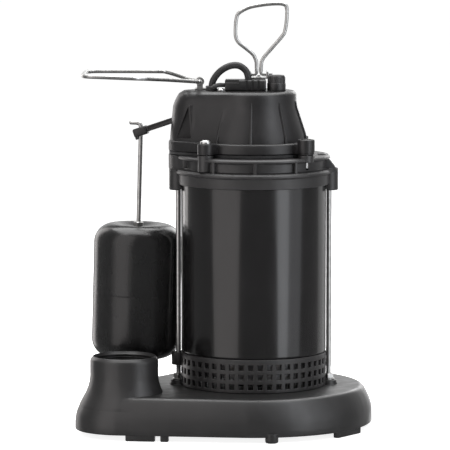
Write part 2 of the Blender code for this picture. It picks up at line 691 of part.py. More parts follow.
def make_arm():
    """The float arm: a hub on its pin, a tail over the switch, a bar and a slotted eye."""
    x, y = polar(ARM_PIVOT_DIST, FLOAT_ANGLE)
    pivot = Vector((x, y, ARM_PIVOT_Z))
    pose = Matrix.Translation(pivot * MM) @ Matrix.Rotation(math.radians(FLOAT_ANGLE), 4, "Z")
    pose = pose @ Matrix.Rotation(math.radians(ARM_SLOPE), 4, "Y")
    arm = arm_block("float_arm", (17.5, 0.0, 0.0), (57.0, 6.0, 5.0), pose, BLACK_PLASTIC)
    join(arm, arm_pin_shape("arm_hub", 5.0, 6.6, pose))
    join(arm, arm_block("arm_eye", (ARM_LENGTH, 0.0, -0.4), (12.4, 10.0, 7.4), pose, None))
    cut(arm, arm_block("arm_eye_slot", (ARM_LENGTH, 0.0, 0.0), (8.6, 4.8, 20.0), pose, None))
    cut(arm, arm_pin_shape("arm_pin_bore", ARM_PIN_R + GAP, 20.0, pose))
    lying_cylinder("arm_pivot_pin", pivot, ARM_PIN_R, 15.6, FLOAT_ANGLE + 90.0, STEEL, SMALL)
    return arm


def arm_block(name, centre, size, pose, look):
    shape = bmesh.new()
    place = pose @ Matrix.Translation(Vector(centre) * MM)
    bmesh.ops.create_cube(shape, size=1.0, matrix=place @ Matrix.Diagonal((*(Vector(size) * MM), 1.0)))
    return add_object(name, finish_mesh(name, shape), look)


def arm_pin_shape(name, radius, length, pose):
    shape = bmesh.new()
    place = pose @ Matrix.Rotation(math.pi / 2, 4, "X")
    bmesh.ops.create_cone(shape, cap_ends=True, segments=16, radius1=radius * MM, radius2=radius * MM,
                          depth=length * MM, matrix=place)
    return smooth(add_object(name, finish_mesh(name, shape), None))


def lean(made):
    """Tips a part of the hanging float outwards about the arm's eye."""
    eye = Matrix.Translation(Vector((*FLOAT_PLACE, EYE_Z)) * MM)
    across = Vector(polar(1.0, FLOAT_ANGLE - 90.0, (0.0, 0.0))).to_3d()
    made.matrix_basis = eye @ Matrix.Rotation(math.radians(FLOAT_LEAN), 4, across) @ eye.inverted() @ made.matrix_basis
    return made


def make_rod():
    """The float rod, bent over outwards on top of the arm's eye."""
    x, y = FLOAT_PLACE
    out = Vector(polar(1.0, FLOAT_ANGLE, (0.0, 0.0)))
    top = EYE_Z + 7.0
    bend = 3.6
    points = [(x, y, FLOAT_TOP - 13.0), (x, y, FLOAT_TOP + 30.0), (x, y, top - bend)]
    for step in range(1, 5):
        angle = math.radians(90.0 * step / 5)
        run = bend * (1 - math.cos(angle))
        points.append((x + out.x * run, y + out.y * run, top - bend + bend * math.sin(angle)))
    points.append((x + out.x * bend, y + out.y * bend, top))
    points.append((x + out.x * ROD_END, y + out.y * ROD_END, top))
    return lean(tube("float_rod", points, ROD_R, STEEL))


def make_float():
    """Two moulded halves that meet at the seam, and the nut that holds the rod."""
    hole = ROD_R + GAP
    wall = FLOAT_R - FLOAT_WALL
    outer = [(6.6, FLOAT_TOP - 2.6), (13.0, FLOAT_TOP - 1.4), (20.0, FLOAT_TOP)]
    outer += [shoulder(FLOAT_R, FLOAT_TOP, 16.0, degrees) for degrees in (68.0, 45.0, 22.0, 0.0)]
    inner = [(wall, FLOAT_TOP - 17.0), (wall - 5.0, FLOAT_TOP - 7.5), (20.0, FLOAT_TOP - 2.6)]
    upper = [(hole, FLOAT_TOP - 2.6)] + outer + [(FLOAT_R, FLOAT_SEAM + 0.9), (FLOAT_R - 0.9, FLOAT_SEAM + GAP / 2)]
    upper += [(wall, FLOAT_SEAM + GAP / 2)] + inner + [(hole, FLOAT_TOP - 5.2)]
    lean(turned("float_upper", upper, FLOAT_PLASTIC, FLOAT_PLACE, 28))
    lower = [(0.0, FLOAT_BOTTOM + FLOAT_WALL), (18.0, FLOAT_BOTTOM + FLOAT_WALL), (wall - 4.0, FLOAT_BOTTOM + 7.0)]
    lower += [(wall, FLOAT_BOTTOM + 17.0), (wall, FLOAT_SEAM - GAP / 2)]
    lower += [(FLOAT_R - 0.9, FLOAT_SEAM - GAP / 2), (FLOAT_R, FLOAT_SEAM - 0.9)]
    for degrees in (0.0, 22.0, 45.0, 68.0, 90.0):
        radius, height = shoulder(FLOAT_R, 0.0, 16.0, degrees)
        lower.append((radius, FLOAT_BOTTOM - height))
    lower.append((0.0, FLOAT_BOTTOM))
    lean(turned("float_lower", lower, FLOAT_PLASTIC, FLOAT_PLACE, 28))
    lean(hex_nut("float_rod_nut", FLOAT_PLACE, 8.0, hole, FLOAT_TOP - 2.6 + GAP, FLOAT_TOP + 1.6, STEEL))


def shoulder(radius, top, curve, degrees):
    """A point on a rounded edge: 0 degrees on the side wall, 90 on the top."""
    angle = math.radians(degrees)
    return (radius - curve + curve * math.cos(angle), top - curve + curve * math.sin(angle))


# ---------------------------------------------------------------- top gear

CORD_BLOCK_Z = (CAP_TOP + GAP, 298.0)
LEAD_R = 2.9
LEAD_GLAND = tie_plane(36.0, 3.0)
BLOCK_PORT = tie_plane(4.6, 4.0)
KNOB_PLACE = tie_plane(-19.4, 5.0)
CLIP_U = -4.3
CLIP_SCREW = tie_plane(CLIP_U, HANDLE_DEPTH + 1.0)
GUIDE_SCREW = tie_plane(38.4, -9.0)
CAP_TOP_SCREW = tie_plane(28.0, 10.0)
HEADING = TIE_ANGLE             # small top parts lie along the tie rods' line


def make_cord_block():
    """The moulded block that takes the leads, with its gland and lead bushing."""
    x, y = tie_plane(7.0, 1.5)
    middle = (CORD_BLOCK_Z[0] + CORD_BLOCK_Z[1]) / 2
    block = box("cord_block", (x, y, middle), (35.2, 23.0, CORD_BLOCK_Z[1] - CORD_BLOCK_Z[0]), BLACK_PLASTIC, HEADING)
    cut(block, cylinders("block_port", (BLOCK_PORT,), LEAD_R + GAP, 292.0, 300.0, None))
    x, y = tie_plane(24.0, 8.0)
    cut(block, lying_cylinder("block_side_port", (x, y, 293.6), 2.3, 10.0, HEADING, None))
    cut(block, cylinders("block_screw_hole", (CLIP_SCREW,), 1.5, 293.0, 300.0, None, 10))
    knob = ((0.0, 302.0), (6.6, 302.0), (8.0, 300.6), (8.0, CORD_BLOCK_Z[0]), (0.0, CORD_BLOCK_Z[0]))
    turned("cord_gland", knob, BLACK_PLASTIC, KNOB_PLACE, 20)
    bush = ((4.6, 292.6), (5.2, CAP_TOP + GAP), (LEAD_R + GAP, CAP_TOP + GAP), (LEAD_R + GAP, 292.6))
    turned("lead_bushing", bush, RUBBER, LEAD_GLAND, 14)
    return block


def make_leads():
    """The thick lead that arches from the cap into the block, and the thin switch lead beside it."""
    start = LEAD_GLAND
    end = BLOCK_PORT
    corners = [(*start, 284.0), (*start, 290.0), (*tie_plane(34.4, 3.0), 297.6), (*tie_plane(28.6, 3.2), 305.0),
               (*tie_plane(20.4, 3.6), 309.6), (*tie_plane(12.4, 4.0), 309.8), (*tie_plane(6.6, 4.0), 305.4),
               (*end, 299.0), (*end, 293.0)]
    tube("jumper_lead", smooth_route(corners, 3), LEAD_R, LEAD)
    thin = [(*tie_plane(35.0, 10.6), 290.9), (*tie_plane(33.4, 10.0), 292.6), (*tie_plane(29.5, 8.4), 293.6),
            (*tie_plane(25.0, 8.0), 293.6), (*tie_plane(20.5, 8.0), 293.6)]
    tube("switch_lead", smooth_route(thin, 2), 1.9, LEAD)


def handle_point(u, z):
    return (*tie_plane(-u, HANDLE_DEPTH), z)


def make_handle():
    """The bent wire handle, whose feet turn outwards into the ears of its clip."""
    pivot = HANDLE_PIVOT_Z
    left = [(-7.0, pivot), (0.6, pivot), (2.2, pivot + 1.6), (2.4, 308.0), (2.0, 313.5), (-0.6, 319.0), (-6.4, 324.0),
            (-12.6, 329.0), (-15.2, 333.6), (-15.6, 341.0), (-14.8, 349.6), (-12.6, 354.4), (-5.0, 358.8)]
    right = [(4.0, 360.9), (16.0, 362.3), (25.0, 362.0), (28.0, 359.2), (28.2, 350.0), (26.8, 340.0), (24.6, 335.0),
             (16.0, 325.0), (7.8, 315.2), (6.4, 309.0), (6.4, pivot + 1.6), (8.0, pivot), (15.4, pivot)]
    points = [handle_point(u, z) for u, z in left + right]
    return tube("handle", points, WIRE_R, STEEL)


def make_handle_clip():
    """A saddle on the cord block with two ears for the handle's feet."""
    x, y = tie_plane(CLIP_U, HANDLE_DEPTH)
    base_z = CORD_BLOCK_Z[1] + GAP
    clip = box("handle_clip", (x, y, base_z + 0.6), (21.6, 7.0, 1.2), STEEL, HEADING)
    for number, u in enumerate((-3.2, 11.8)):
        x, y = tie_plane(-u, HANDLE_DEPTH)
        join(clip, box(f"handle_ear_{number}", (x, y, base_z + 3.4), (2.6, 7.0, 6.6), None, HEADING))
    x, y = tie_plane(CLIP_U, HANDLE_DEPTH)
    cut(clip, lying_cylinder("ear_bore", (x, y, HANDLE_PIVOT_Z), WIRE_R + GAP, 30.0, HEADING, None, SMALL))
    cut(clip, cylinders("clip_screw_hole", (CLIP_SCREW,), 1.5, 297.0, 301.0, None, 10))
    return clip


def make_guide():
    """The wire loop that steadies the riser pipe above the discharge socket."""
    pivot = GUIDE_PIVOT_Z
    points = [(46.0, -2.5, pivot), (46.6, 0.0, pivot), (48.8, 2.2, pivot + 0.2), (56.0, 15.0, 297.4),
              (70.0, 38.0, 299.8), (86.0, 64.0, 302.2), (93.0, 72.5, 303.0), (103.0, 77.2, 303.6),
              (130.0, 78.0, 304.7), (138.5, 75.4, 304.9), (142.4, 68.0, 305.1), (142.8, 49.0, 305.4),
              (142.4, 30.0, 305.8), (138.5, 22.6, 306.0), (130.0, 20.0, 306.1), (82.0, 20.0, 306.0),
              (74.0, 17.0, 305.2), (64.0, 4.0, 301.4), (54.0, -13.0, 297.0), (48.4, -18.2, pivot + 0.2),
              (46.0, -16.0, pivot)]
    places = [(*tie_plane(u, v), z) for u, v, z in points]
    return tube("pipe_guide", places, WIRE_R, STEEL, closed=True)


def make_guide_clip():
    x, y = tie_plane(GUIDE_PIVOT_U, -9.0)
    clip = lying_cylinder("guide_clip", (x, y, GUIDE_PIVOT_Z), 3.8, 8.0, HEADING + 90.0, STEEL, 20)
    join(clip, box("guide_clip_post", (x, y, 291.8), (5.0, 7.4, 6.0), None, HEADING))
    x, y = tie_plane(42.5, -9.0)
    join(clip, box("guide_clip_plate", (x, y, CAP_TOP + 1.0), (16.0, 7.0, 1.4), None, HEADING))
    x, y = tie_plane(GUIDE_PIVOT_U, -9.0)
    cut(clip, lying_cylinder("guide_bore", (x, y, GUIDE_PIVOT_Z), WIRE_R + GAP, 20.0, HEADING + 90.0, None, SMALL))
    cut(clip, cylinders("guide_screw_hole", (GUIDE_SCREW,), 1.5, 286.0, 293.0, None, 10))
    return clip


def make_small_screws():
    pan_screw("handle_clip_screw", CLIP_SCREW, 2.6, 1.2, 299.5 + GAP, 1.4, 6.0, STEEL)
    pan_screw("guide_clip_screw", GUIDE_SCREW, 3.0, 1.2, CAP_TOP + 1.7 + GAP, 1.8, 9.0, STEEL)
    pan_screw("cap_top_screw", CAP_TOP_SCREW, 3.4, 1.4, CAP_TOP + GAP, 2.4, 6.5, STEEL)


# ---------------------------------------------------------------- the pump

def build():
    make_base()
    make_bottom_plate()
    make_bottom_plate_screws()
    make_strainer()
    make_shell()
    make_shell_seals()
    make_lower_end_plate()
    make_collar()
    make_cap()
    make_cap_gasket()
    make_cap_screws()
    make_tie_rods()
    make_motor()
    make_shaft()
    make_impeller()
    make_capacitor()
    make_switch()
    make_arm()
    make_rod()
    make_float()
    make_cord_block()
    make_leads()
    make_handle()
    make_handle_clip()
    make_guide()
    make_guide_clip()
    make_small_screws()


build()
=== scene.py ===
"""Looks for the submersible sump pump: fine meshes, materials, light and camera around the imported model.

Shapes are in millimetres in the model's own frame. MM turns them into metres as a mesh is made.
"""
import json
import math

import bmesh
import bpy
from mathutils import Matrix, Vector

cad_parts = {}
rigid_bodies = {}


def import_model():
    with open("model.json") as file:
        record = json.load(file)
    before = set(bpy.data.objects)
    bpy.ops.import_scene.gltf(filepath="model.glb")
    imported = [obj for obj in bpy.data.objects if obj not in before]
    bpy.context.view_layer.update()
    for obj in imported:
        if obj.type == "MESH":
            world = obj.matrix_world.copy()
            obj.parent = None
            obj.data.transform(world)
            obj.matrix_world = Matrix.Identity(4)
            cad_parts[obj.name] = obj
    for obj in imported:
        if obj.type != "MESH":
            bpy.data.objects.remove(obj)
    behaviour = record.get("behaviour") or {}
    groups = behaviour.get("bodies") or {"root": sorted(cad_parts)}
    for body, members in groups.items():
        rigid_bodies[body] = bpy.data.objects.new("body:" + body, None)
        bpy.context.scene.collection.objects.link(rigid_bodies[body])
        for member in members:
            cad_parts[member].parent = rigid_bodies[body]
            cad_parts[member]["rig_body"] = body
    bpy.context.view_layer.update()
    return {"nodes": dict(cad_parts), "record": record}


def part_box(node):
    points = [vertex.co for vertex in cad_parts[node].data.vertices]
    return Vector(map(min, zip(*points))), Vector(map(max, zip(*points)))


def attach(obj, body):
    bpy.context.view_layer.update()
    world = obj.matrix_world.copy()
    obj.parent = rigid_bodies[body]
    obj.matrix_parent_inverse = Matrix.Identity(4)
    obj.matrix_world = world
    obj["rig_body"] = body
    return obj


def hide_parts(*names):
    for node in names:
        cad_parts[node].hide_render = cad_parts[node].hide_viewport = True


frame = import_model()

MM = 0.001
SLOT_OF = {entry["node"]: entry["material_slot"] for entry in frame["record"]["subparts"]}


# ---- places, read from the frame where it has them

def low(node):
    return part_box(node)[0] / MM


def high(node):
    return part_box(node)[1] / MM


def middle(node):
    return (low(node) + high(node)) / 2


def span(node):
    """A node's lowest and highest heights."""
    return low(node).z, high(node).z


def half_width(node):
    return (high(node).x - low(node).x) / 2


MOTOR = middle("motor_shell").xy
SHELL_R = half_width("motor_shell")
TIE_RODS = [middle("tie_rod_1").xy, middle("tie_rod_2").xy]
TIE_ALONG = (TIE_RODS[0] - MOTOR).normalized()
TIE_ANGLE = math.degrees(math.atan2(TIE_ALONG.y, TIE_ALONG.x))
CAP_SCREWS = [middle(f"cap_screw_{number}").xy for number in range(1, 5)]
PLATE_SCREWS = [middle(f"bottom_plate_screw_{number}").xy for number in range(1, 6)]
BASE_R_MOTOR = high("base_housing").x - MOTOR.x
BASE_R_PORT = 41.6
PORT = Vector((low("base_housing").x + BASE_R_PORT, 0))
SOCKET_TOP = high("base_housing").z
COLLAR_TOP = 234
CAP_TOP = 288.5
LOBE_ANGLE = 146
LOBE_DIST = 46
FLOAT_ANGLE = 143.5
VIEW_AZIMUTH = -24              # heading of the front view's right-hand side
GAP = 0.3                       # between pieces that meet
ROD_HOLE_R = 2.5
SCREW_HOLE_R = 2.3


def polar(distance, degrees, centre=MOTOR):
    angle = math.radians(degrees)
    return Vector((centre.x + distance * math.cos(angle), centre.y + distance * math.sin(angle)))


def tie_plane(u, v):
    """A point u along the tie rods' line from the motor axis, and v square to it, towards the front."""
    across = Vector((-TIE_ALONG.y, TIE_ALONG.x))
    return MOTOR + TIE_ALONG * u + across * v


def view_place(across, depth):
    """A point across to the right, and towards the front, of the motor axis in the front view."""
    right = Vector((math.cos(math.radians(VIEW_AZIMUTH)), math.sin(math.radians(VIEW_AZIMUTH))))
    front = Vector((right.y, -right.x))
    return MOTOR + right * across + front * depth


def at(place, z):
    return (place.x, place.y, z)


def stood(place, z, heading=0):
    """A frame at a place and height, turned by heading about Z."""
    return Matrix.Translation(Vector(at(place, z))) @ Matrix.Rotation(math.radians(heading), 4, "Z")


def sunk_screw_place():
    """The front right cap screw, whose head sits in a deeper lug."""
    towards = view_place(1, 1) - MOTOR
    return max(CAP_SCREWS, key=lambda place: (place - MOTOR).dot(towards))


LEAD_GLAND = tie_plane(36, 3)
GUIDE_SCREW = middle("guide_clip_screw").xy
CAP_TOP_SCREW = middle("cap_top_screw").xy


# ---- mesh makers

def rounded(corners, steps=4, closed=False):
    """A polyline of (a, b, ease) corners, each eased over that length on both sides."""
    points = []
    count = len(corners)
    for index, (a, b, ease) in enumerate(corners):
        here = Vector((a, b))
        if ease == 0 or (not closed and index in (0, count - 1)):
            points.append(here)
            continue
        start = here + (Vector(corners[index - 1][:2]) - here).normalized() * ease
        end = here + (Vector(corners[(index + 1) % count][:2]) - here).normalized() * ease
        for step in range(steps + 1):
            t = step / steps
            points.append(start * (1 - t) ** 2 + here * 2 * t * (1 - t) + end * t ** 2)
    return [(point.x, point.y) for point in points]


def bridge(shape, loops, wrap):
    """Joins rings of points into a closed skin. A ring of one point is a pole."""
    rings = [[shape.verts.new(Vector(point) * MM) for point in loop] for loop in loops]
    pairs = list(zip(rings, rings[1:]))
    if wrap:
        pairs.append((rings[-1], rings[0]))
    for lower, upper in pairs:
        count = max(len(lower), len(upper))
        for here in range(count):
            after = (here + 1) % count
            corners = (lower[here % len(lower)], lower[after % len(lower)],
                       upper[after % len(upper)], upper[here % len(upper)])
            shape.faces.new(list(dict.fromkeys(corners)))
    if not wrap:
        for ring in (rings[0], rings[-1]):
            if len(ring) > 2:
                shape.faces.new(ring)


def as_object(shape, name="shape"):
    bmesh.ops.recalc_face_normals(shape, faces=shape.faces)
    mesh = bpy.data.meshes.new(name)
    shape.to_mesh(mesh)
    shape.free()
    made = bpy.data.objects.new(name, mesh)
    bpy.context.scene.collection.objects.link(made)
    return made


def skin(loops, wrap=False):
    shape = bmesh.new()
    bridge(shape, loops, wrap)
    return as_object(shape)


def turned(profile, axis, steps):
    """Turns a (radius, height) profile about the upright line at a place, or about a matrix's own Z axis."""
    loops = []
    for radius, height in profile:
        count = steps if radius > 0 else 1
        loop = []
        for step in range(count):
            angle = math.tau * step / steps
            point = Vector((radius * math.cos(angle), radius * math.sin(angle), height))
            loop.append(axis @ point if isinstance(axis, Matrix) else point + axis.to_3d())
        loops.append(loop)
    return skin(loops, wrap=profile[0][0] > 0)


def rod_profile(radius, bottom, top, ease, steps=3):
    return rounded([(0, top, 0), (radius, top, ease), (radius, bottom, ease), (0, bottom, 0)], steps)


def pin(radius, bottom, top, centre=MOTOR, steps=48, ease=0):
    return turned(rod_profile(radius, bottom, top, ease), centre, steps)


def ring(outer, inner, bottom, top, centre=MOTOR, steps=96, ease=0):
    corners = [(outer, top, ease), (outer, bottom, ease), (inner, bottom, ease), (inner, top, ease)]
    return turned(rounded(corners, 3, closed=True), centre, steps)


def loft(outlines, heights):
    return skin([[(x, y, height) for x, y in outline] for outline, height in zip(outlines, heights)])


def block(frame_matrix, size, ease=0):
    """A box with eased edges, centred in a frame."""
    shape = bmesh.new()
    bmesh.ops.create_cube(shape, size=1, matrix=Matrix.Diagonal((*Vector(size), 1)))
    if ease:
        bmesh.ops.bevel(shape, geom=list(shape.edges), offset=ease, segments=3, profile=0.5, affect="EDGES")
    bmesh.ops.transform(shape, matrix=Matrix.Scale(MM, 4) @ frame_matrix, verts=shape.verts)
    return as_object(shape)


def tie_block(u, v, z, size, ease=0):
    """A block that stands square to the tie rods' line."""
    return block(stood(tie_plane(u, v), z, TIE_ANGLE), size, ease)


def lying_pin(place, z, radius, length, heading, steps=32, ease=0):
    lying = stood(place, z, heading) @ Matrix.Rotation(math.pi / 2, 4, "Y")
    return turned(rod_profile(radius, -length / 2, length / 2, ease), lying, steps)


def holes(radius, bottom, top, places, steps=24):
    """Upright pins that cut the same hole at several places."""
    return [pin(radius, bottom, top, place, steps) for place in places]


def neighbours(points, index, shifts, closed):
    """The points at some steps from index, past a closed loop's end or stopped at an open one's."""
    last = len(points) - 1
    if closed:
        return [points[(index + shift) % (last + 1)] for shift in shifts]
    return [points[min(max(index + shift, 0), last)] for shift in shifts]


def wire(points, radius, across, steps, closed=False):
    """A round wire with eased ends. The across direction is roughly square to it all the way."""
    points = [Vector(point) for point in points]
    loops = []
    for index, point in enumerate(points):
        before, after = neighbours(points, index, (-1, 1), closed)
        along = after - before
        side = along.cross(Vector(across)).normalized()
        up = side.cross(along).normalized()
        loop = []
        for step in range(steps):
            angle = math.tau * step / steps
            loop.append(point + (side * math.cos(angle) + up * math.sin(angle)) * radius)
        loops.append(loop)
    if not closed:
        for end, near in ((0, 1), (-1, -2)):
            centre = points[end]
            out = (centre - points[near]).normalized() * radius * 0.35
            small = [centre + (corner - centre) * 0.72 + out for corner in loops[end]]
            loops.insert(0, small) if end == 0 else loops.append(small)
    return skin(loops, wrap=closed)


def smooth_route(corners, steps, closed=False):
    """Points along a smooth curve through the given corners."""
    corners = [Vector(corner) for corner in corners]
    points = []
    for span in range(len(corners) - (0 if closed else 1)):
        before, start, end, after = neighbours(corners, span, (-1, 0, 1, 2), closed)
        for step in range(steps):
            t = step / steps
            near = 2 * start + (end - before) * t
            bend = (2 * before - 5 * start + 4 * end - after) * t ** 2
            far = (3 * start - before - 3 * end + after) * t ** 3
            points.append((near + bend + far) / 2)
    if not closed:
        points.append(corners[-1])
    return points


def combine(made, others, operation):
    """Joins or cuts a shape with others, and removes them."""
    for other in others:
        step = made.modifiers.new(operation, "BOOLEAN")
        step.operation = operation
        step.solver = "EXACT"
        step.object = other
    settle(made)
    for other in others:
        bpy.data.objects.remove(other)
    return made


def join(made, *others):
    return combine(made, others, "UNION")


def cut(made, *others):
    return combine(made, others, "DIFFERENCE")


def settle(made):
    """Turns an object's modifiers into mesh."""
    depsgraph = bpy.context.evaluated_depsgraph_get()
    mesh = bpy.data.meshes.new_from_object(made.evaluated_get(depsgraph))
    made.modifiers.clear()
    made.data = mesh
    return made


def merge(*parts):
    """Makes one mesh of several shapes that don't meet."""
    shape = bmesh.new()
    for part in parts:
        shape.from_mesh(part.data)
        bpy.data.objects.remove(part)
    return as_object(shape)


# ---- materials

def new_look(name):
    look = bpy.data.materials.new(name)
    look.use_nodes = True
    return look, look.node_tree, look.node_tree.nodes["Principled BSDF"]


def noise(tree, size_mm, detail=3, stretch=(1, 1, 1)):
    """Noise with features of about size_mm, fixed to the piece."""
    coordinates = tree.nodes.new("ShaderNodeTexCoord")
    mapping = tree.nodes.new("ShaderNodeMapping")
    mapping.inputs["Scale"].default_value = stretch
    texture = tree.nodes.new("ShaderNodeTexNoise")
    texture.inputs["Scale"].default_value = 1 / (size_mm * MM)
    texture.inputs["Detail"].default_value = detail
    tree.links.new(coordinates.outputs["Object"], mapping.inputs["Vector"])
    tree.links.new(mapping.outputs["Vector"], texture.inputs["Vector"])
    return texture.outputs["Fac"]


def ramp(tree, value, stops):
    """Maps a value to colours or greys at (position, colour) stops."""
    node = tree.nodes.new("ShaderNodeValToRGB")
    while len(node.color_ramp.elements) < len(stops):
        node.color_ramp.elements.new(0.5)
    for element, (position, colour) in zip(node.color_ramp.elements, stops):
        element.position = position
        element.color = (*colour, 1) if hasattr(colour, "__len__") else (colour, colour, colour, 1)
    tree.links.new(value, node.inputs["Fac"])
    return node.outputs["Color"]


def patches(tree, size_mm, detail, start, end, stretch=(1, 1, 1)):
    """Noise spread between two (position, value) stops."""
    return ramp(tree, noise(tree, size_mm, detail, stretch), (start, end))


def feed(tree, socket, value):
    """Links a node's socket to another's output, or gives it a colour or a number."""
    if isinstance(value, bpy.types.NodeSocket):
        tree.links.new(value, socket)
    else:
        socket.default_value = (*value, 1) if hasattr(value, "__len__") else value


def mixed(tree, factor, first, second):
    node = tree.nodes.new("ShaderNodeMix")
    node.data_type = "RGBA"
    for number, value in ((0, factor), (6, first), (7, second)):
        feed(tree, node.inputs[number], value)
    return node.outputs[2]


def product(tree, first, second):
    node = tree.nodes.new("ShaderNodeMath")
    node.operation = "MULTIPLY"
    for number, value in enumerate((first, second)):
        feed(tree, node.inputs[number], value)
    return node.outputs[0]


def bump(tree, shader, layers, edge_mm=0):
    """Layers of (value, depth in mm), over edges rounded by edge_mm."""
    normal = None
    if edge_mm:
        bevel = tree.nodes.new("ShaderNodeBevel")
        bevel.samples = 4
        bevel.inputs["Radius"].default_value = edge_mm * MM
        normal = bevel.outputs["Normal"]
    for value, depth in layers:
        node = tree.nodes.new("ShaderNodeBump")
        node.inputs["Strength"].default_value = 1
        node.inputs["Distance"].default_value = depth * MM
        tree.links.new(value, node.inputs["Height"])
        if normal is not None:
            tree.links.new(normal, node.inputs["Normal"])
        normal = node.outputs["Normal"]
    tree.links.new(normal, shader.inputs["Normal"])


def dress(tree, shader, colour, roughness, metallic=0):
    tree.links.new(colour, shader.inputs["Base Color"])
    tree.links.new(roughness, shader.inputs["Roughness"])
    shader.inputs["Metallic"].default_value = metallic


def worn_edges(tree):
    """1 along convex edges, broken up by noise, 0 elsewhere."""
    geometry = tree.nodes.new("ShaderNodeNewGeometry")
    edges = ramp(tree, geometry.outputs["Pointiness"], ((0.52, 0), (0.6, 1)))
    return product(tree, edges, patches(tree, 3, 5, (0.42, 0), (0.62, 1)))


def moulded(name, colour, roughness, grain_mm=0.5, grain_depth=0.012, edge_mm=0.4, wave_mm=0.06, ior=1.5):
    """Injection-moulded plastic: fine spark-eroded grain, soft mottling, scuffs and paler edges."""
    look, tree, shader = new_look(name)
    dark = Vector(colour) * 0.86
    light = Vector((colour[0] * 1.17, colour[1] * 1.14, colour[2] * 1.14))
    mottled = mixed(tree, patches(tree, 22, 4, (0.35, 0), (0.68, 1)), dark, light)
    edged = mixed(tree, product(tree, worn_edges(tree), 0.35), mottled, Vector(colour) * 2.6)
    dust = patches(tree, 1.1, 6, (0.66, 0), (0.8, 0.22))
    scuffs = patches(tree, 9, 6, (0.3, roughness - 0.05), (0.7, roughness + 0.07), (1, 1, 0.35))
    dress(tree, shader, mixed(tree, dust, edged, (0.11, 0.108, 0.1)), scuffs)
    shader.inputs["IOR"].default_value = ior
    bump(tree, shader, [(noise(tree, grain_mm), grain_depth), (noise(tree, 16, 2), wave_mm)], edge_mm)
    return look


def enamel(name):
    """Gloss enamel over drawn steel: a clear top over near-black, faint orange peel and a few specks."""
    look, tree, shader = new_look(name)
    tint = mixed(tree, patches(tree, 30, 3, (0.35, 0), (0.7, 1)), (0.0045, 0.0042, 0.0043),
                 (0.0068, 0.0064, 0.0067))
    specks = patches(tree, 0.8, 4, (0.72, 0), (0.8, 0.5))
    smears = patches(tree, 12, 6, (0.3, 0.17), (0.72, 0.25), (1, 1, 0.2))
    dress(tree, shader, mixed(tree, specks, tint, (0.06, 0.058, 0.055)), smears)
    shader.inputs["Coat Weight"].default_value = 0.35
    shader.inputs["Coat Roughness"].default_value = 0.08
    bump(tree, shader, [(noise(tree, 1.6, 2), 0.0025), (noise(tree, 26, 1), 0.03)], 0.3)
    return look


def plated(name, colour=(0.66, 0.66, 0.65), roughness=0.32, streak=(1, 1, 0.08)):
    """Bright zinc plate or bare aluminium: cloudy sheen with streaks along the wire or rod."""
    look, tree, shader = new_look(name)
    cloudy = mixed(tree, patches(tree, 5, 5, (0.3, 0), (0.7, 1)), Vector(colour) * 0.72, colour)
    streaks = patches(tree, 1.6, 4, (0.3, roughness - 0.06), (0.7, roughness + 0.08), streak)
    dress(tree, shader, cloudy, streaks, 1)
    bump(tree, shader, [(noise(tree, 0.9, 2, streak), 0.002)], 0.25)
    return look


def soft_rubber(name, colour=(0.02, 0.02, 0.021), roughness=0.62, grain_mm=0.35):
    """Rubber or soft PVC with a pale bloom in patches."""
    look, tree, shader = new_look(name)
    bloom = mixed(tree, patches(tree, 7, 5, (0.4, 0), (0.75, 1)), colour, Vector(colour) * 1.8)
    spread = patches(tree, 3, 4, (0.3, roughness - 0.06), (0.7, roughness + 0.1))
    dress(tree, shader, bloom, spread)
    bump(tree, shader, [(noise(tree, grain_mm), 0.01)], 0.3)
    return look


def stripes(tree, scale, **settings):
    """A wave texture fixed to the piece."""
    wave = tree.nodes.new("ShaderNodeTexWave")
    for name, value in settings.items():
        setattr(wave, name, value)
    wave.inputs["Scale"].default_value = scale
    coordinates = tree.nodes.new("ShaderNodeTexCoord")
    tree.links.new(coordinates.outputs["Object"], wave.inputs["Vector"])
    return wave


def copper_coils(name):
    """Varnished magnet wire laid round the bore."""
    look, tree, shader = new_look(name)
    strands = stripes(tree, 260, wave_type="RINGS", rings_direction="Z")
    strands.inputs["Distortion"].default_value = 1.5
    copper = mixed(tree, strands.outputs["Fac"], (0.16, 0.05, 0.015), (0.55, 0.24, 0.08))
    dress(tree, shader, copper, patches(tree, 4, 3, (0.3, 0.25), (0.7, 0.42)), 0.8)
    bump(tree, shader, [(strands.outputs["Fac"], 0.2)])
    return look


def laminated(name):
    """Stacked electrical steel, with a thin line at each lamination."""
    look, tree, shader = new_look(name)
    stack = stripes(tree, 310, bands_direction="Z").outputs["Fac"]
    bare = mixed(tree, stack, (0.2, 0.2, 0.21), (0.36, 0.36, 0.37))
    steel = mixed(tree, patches(tree, 8, 5, (0.5, 0), (0.8, 1)), bare, (0.22, 0.17, 0.13))
    dress(tree, shader, steel, patches(tree, 2, 3, (0.3, 0.35), (0.7, 0.55)), 1)
    bump(tree, shader, [(stack, 0.05)])
    return look


LOOKS = {
    "black_plastic": moulded("black_plastic_look", (0.0135, 0.0132, 0.0134), 0.38, ior=1.62),
    "charcoal_plastic": moulded("charcoal_plastic_look", (0.0115, 0.011, 0.0115), 0.36),
    "float_plastic": moulded("float_plastic_look", (0.0095, 0.0095, 0.0097), 0.25, 0.9, 0.003, 0.3,
                             0.02, 1.52),
    "black_enamel": enamel("black_enamel_look"),
    "zinc_steel": plated("zinc_steel_look"),
    "rubber": soft_rubber("rubber_look"),
    "cable_sheath": soft_rubber("cable_sheath_look", (0.017, 0.017, 0.0175), 0.42, 0.6),
    "winding": copper_coils("winding_look"),
    "core_steel": laminated("core_steel_look"),
    "switch_plastic": moulded("switch_plastic_look", (0.1, 0.1, 0.105), 0.45, 0.4),
    "case_aluminium": plated("case_aluminium_look", (0.72, 0.72, 0.73), 0.34, (1, 1, 0.3)),
}
